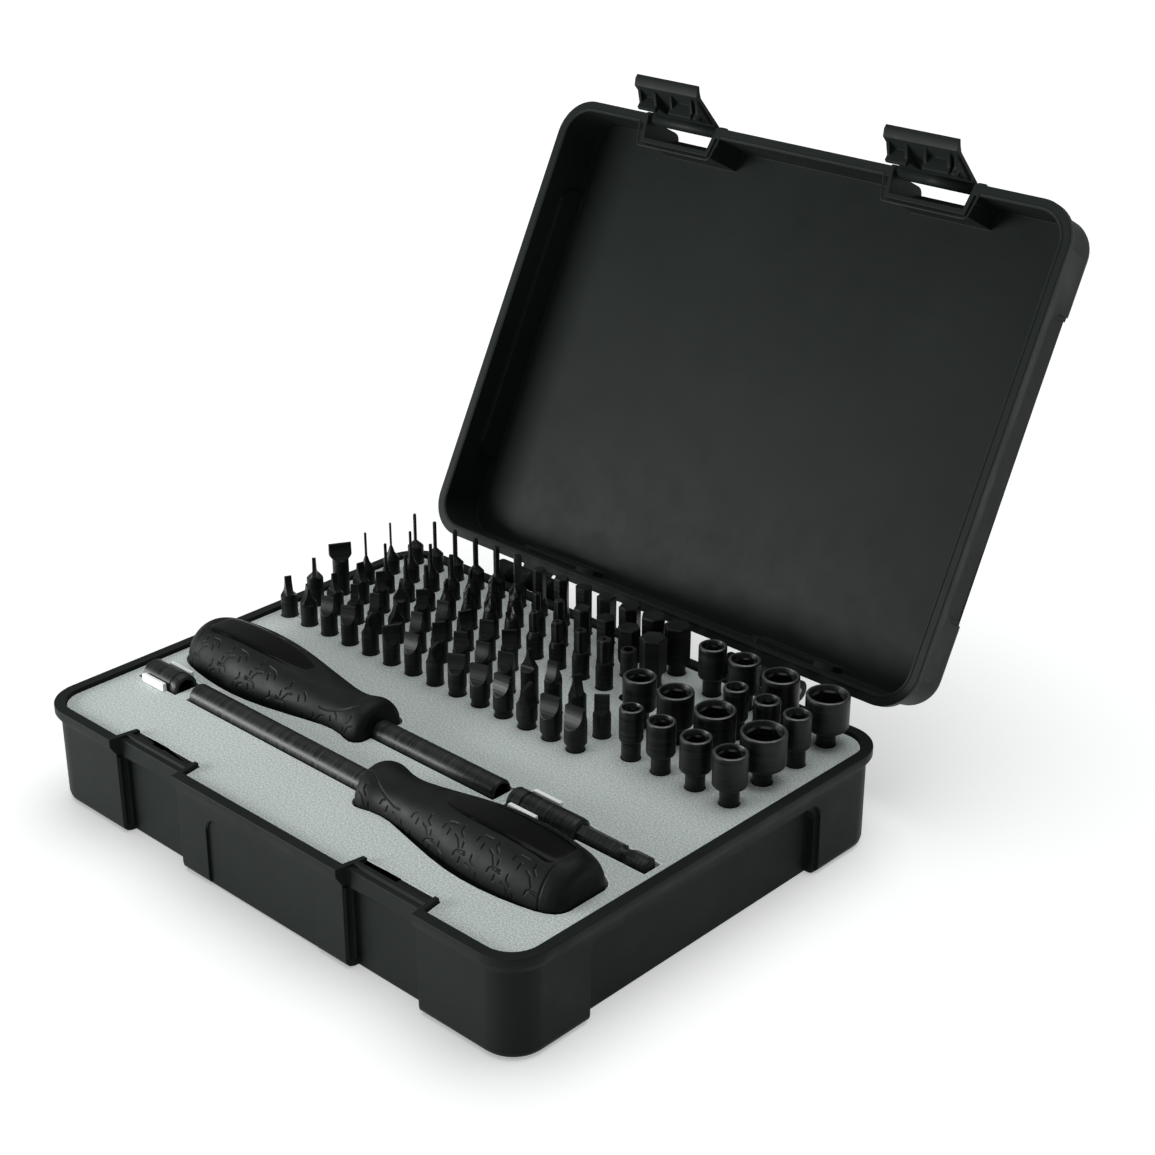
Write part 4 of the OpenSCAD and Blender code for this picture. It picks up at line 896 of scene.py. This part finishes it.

# ---- Nut sockets ------------------------------------------------------------
# Each nut socket is turned with its stem in one piece, broached with a hexagon
# and chamfered round the mouth; its rim's top faces carry a paler ring of painted highlight.

SOCKET_STEEL = black_oxide("black_oxide_sockets", 900.0, 2)
# painted highlight: a paler steel colour on the rim's top faces stands in for the light they catch
RIM_HIGHLIGHT_DARK, RIM_HIGHLIGHT, RIM_HIGHLIGHT_PALE = (0.045, 0.047, 0.047), (0.07, 0.073, 0.073), (0.10, 0.104, 0.104)
RIM_HIGHLIGHT_STEEL, tree, surface, place = shader("painted_highlight_rim_steel", RIM_HIGHLIGHT, 0.36, metallic=0.7)
rim_highlight_tone = ramp(tree, noise(tree, place, 500.0, 4.0), [(0.3, RIM_HIGHLIGHT_DARK), (0.7, RIM_HIGHLIGHT_PALE)])
tree.links.new(rim_highlight_tone, surface.inputs["Base Color"])
bump(tree, surface, noise(tree, place, 1500.0, 2.0), 0.02 * MM, 0.4)

# the corner that the sockets are measured from, their height, their heads' and their stems' size
SOCKET_X, SOCKET_Y, SOCKET_H, HEAD_H, STEM_R = 112.5, 84.5, 21.0, 14.0, 3.7
BROACH_DEPTH = 9.0
# [distance to the left of the corner, distance in front of it, diameter, hexagon's width]
SOCKETS = [
    [47.2, 57.6, 9.2, 5.0], [32.6, 57.6, 11, 6.4], [16, 57.6, 12, 7.2], [0, 57.6, 13, 8.2],
    [0.8, 38, 17.4, 11.6], [0, 19.6, 10.8, 6.0], [1, 0, 16.8, 11.2], [24, 37.6, 15.8, 10.4],
    [43.6, 37, 14.2, 9.2], [61.4, 37, 13, 8.2], [14.8, 18.8, 10.4, 5.6], [29.6, 18.8, 9.7, 5.2],
    [57.6, -1, 11.2, 6.4], [41.4, -0.6, 12.7, 7.8], [23, 0.4, 14.7, 9.6]]


def socket_path(r, half):
    """Path of a nut socket of radius r with a hexagon of the half width: hexagon root, stem and
    head with fine rings, rounded rim, and the broached hole down to its floor."""
    low, top, floor = SOCKET_H - HEAD_H, SOCKET_H, SOCKET_H - BROACH_DEPTH
    path = [[-SUNK, 0, 1], [-SUNK, HEX_ROOT, 1], [-ROOT_IN - 0.05, HEX_ROOT, 1],
            [-ROOT_IN, STEM_R, 0]]
    path += [[z, STEM_R - dip, 0] for z, dip in
             zip(np.linspace(-0.5, low - 0.5, 12), [0, 0.04] * 6)]
    path += [[low - 0.1, STEM_R + 0.1, 0], [low, STEM_R + 0.3, 0],
             [low + 0.1, r - 0.9, 0], [low + 0.5, r - 0.35, 0], [low + 1.2, r, 0]]
    path += [[z, r - dip, 0] for z, dip in
             zip(np.linspace(low + 1.8, top - 1.6, 20), [0, 0.035] * 10)]
    path += [[top - 0.7, r, 0], [top - 0.3, r - 0.15, 0], [top - 0.05, r - 0.5, 0]]
    path += [[top, r - 0.62, 0], [top, r - 1.0, 0], [top - 0.25, r - 1.2, 0]]
    path += [[top - 2.0, half / COS_30 + 0.1, 0], [top - 2.5, half, 1]]
    return path + [[floor, half, 1], [floor - 0.6, half - 0.6, 0], [floor - 0.6, 0, 0]]


for k, (dx, dy, width, across) in enumerate(SOCKETS, 1):
    points, faces = turned(socket_path(width / 2, across / 2), 72)
    x0, y0 = SOCKET_X - dx, SOCKET_Y - dy
    body = [(standing(points, x0, y0), faces)]
    socket = surface_piece("nut_socket_%d" % k, body, SOCKET_STEEL, 30.0)
    socket.data.materials.append(RIM_HIGHLIGHT_STEEL)
    # the faces at the very top and outside the hexagon get the paler ring of painted highlight
    centres = np.zeros(len(socket.data.polygons) * 3)
    socket.data.polygons.foreach_get("center", centres)
    centres = centres.reshape(-1, 3) / MM
    away = np.hypot(centres[:, 0] - x0, centres[:, 1] - y0)
    highlight_ring = (centres[:, 2] > TOOL_Z + SOCKET_H - 0.31) & (away > across / 2 + 0.1)
    socket.data.polygons.foreach_set("material_index", highlight_ring.astype(np.int32))
    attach(socket, "case_base")
    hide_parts("socket_%d" % k)

# ---- Stage ------------------------------------------------------------------
# A plain white floor, a wide soft sun almost overhead, a low softbox at the
# front left that lights the pieces but not the floor, and a dim white sky. The
# camera looks down from the front right.

FLOOR_HALF, FLOOR_Z = 9.0, -0.0002
plane = bpy.data.meshes.new("floor")
plane.from_pydata([(x * FLOOR_HALF, y * FLOOR_HALF, FLOOR_Z) for x, y in
                   ((-1, -1), (1, -1), (1, 1), (-1, 1))], [], [(0, 1, 2, 3)])
floor = link("floor", plane)
FLOOR, tree, surface, place = shader("floor_white", (0.86, 0.87, 0.865), 0.9, specular=0.1)
surface.inputs["Emission Color"].default_value = (1, 1, 1, 1)
surface.inputs["Emission Strength"].default_value = 0.36
plane.materials.append(FLOOR)


def sun(name, direction, strength, angle):
    """Sun lamp shining along a direction, with a disc of the given angle for soft shadows. Its
    own axis of view, -z, is turned to the direction."""
    lamp = bpy.data.lights.new(name, "SUN")
    lamp.energy, lamp.angle = strength, math.radians(angle)
    holder = bpy.data.objects.new(name, lamp)
    holder.rotation_euler = Vector(direction).to_track_quat("-Z", "Y").to_euler()
    bpy.context.scene.collection.objects.link(holder)


def softbox(name, place, target, width, height, power):
    """Rectangular area lamp at a place, facing a target, hidden from the camera. It lights every
    piece of the scene but the floor."""
    lamp = bpy.data.lights.new(name, "AREA")
    lamp.shape, lamp.size, lamp.size_y, lamp.energy = "RECTANGLE", width, height, power
    holder = bpy.data.objects.new(name, lamp)
    holder.location = place
    holder.rotation_euler = (Vector(target) - Vector(place)).to_track_quat("-Z", "Y").to_euler()
    holder.visible_camera = False
    bpy.context.scene.collection.objects.link(holder)
    lit = bpy.data.collections.new(name + "_lights")
    for piece in bpy.context.scene.objects:
        if piece.type == "MESH" and piece != floor:
            lit.objects.link(piece)
    holder.light_linking.receiver_collection = lit


sun("top_sun", direction=(0.06, -0.18, -1.0), strength=1.72, angle=60)
softbox("front_softbox", place=(-0.52, -0.66, 0.17), target=(-0.04, -0.1, 0.03),
        width=0.6, height=0.22, power=11.0)
world = bpy.data.worlds.new("studio")
bpy.context.scene.world = world
world.use_nodes = True
sky = world.node_tree.nodes["Background"]
sky.inputs["Color"].default_value = (0.97, 1.0, 0.99, 1)
sky.inputs["Strength"].default_value = 0.28

eye = bpy.data.cameras.new("camera")
eye.lens, eye.sensor_width = 67.54, 36.0
eye.clip_start, eye.clip_end = 0.05, 30.0
camera = bpy.data.objects.new("camera", eye)
CAMERA_PLACE, CAMERA_AIM = (0.5293, -0.4932, 0.4436), (-0.6205, 0.6570, -0.4282)
camera.location = CAMERA_PLACE
camera.rotation_mode = "QUATERNION"
camera.rotation_quaternion = Vector(CAMERA_AIM).to_track_quat("-Z", "Y")
bpy.context.scene.collection.objects.link(camera)
bpy.context.scene.camera = camera
bpy.context.scene.view_settings.view_transform = "Standard"

bpy.context.view_layer.update()
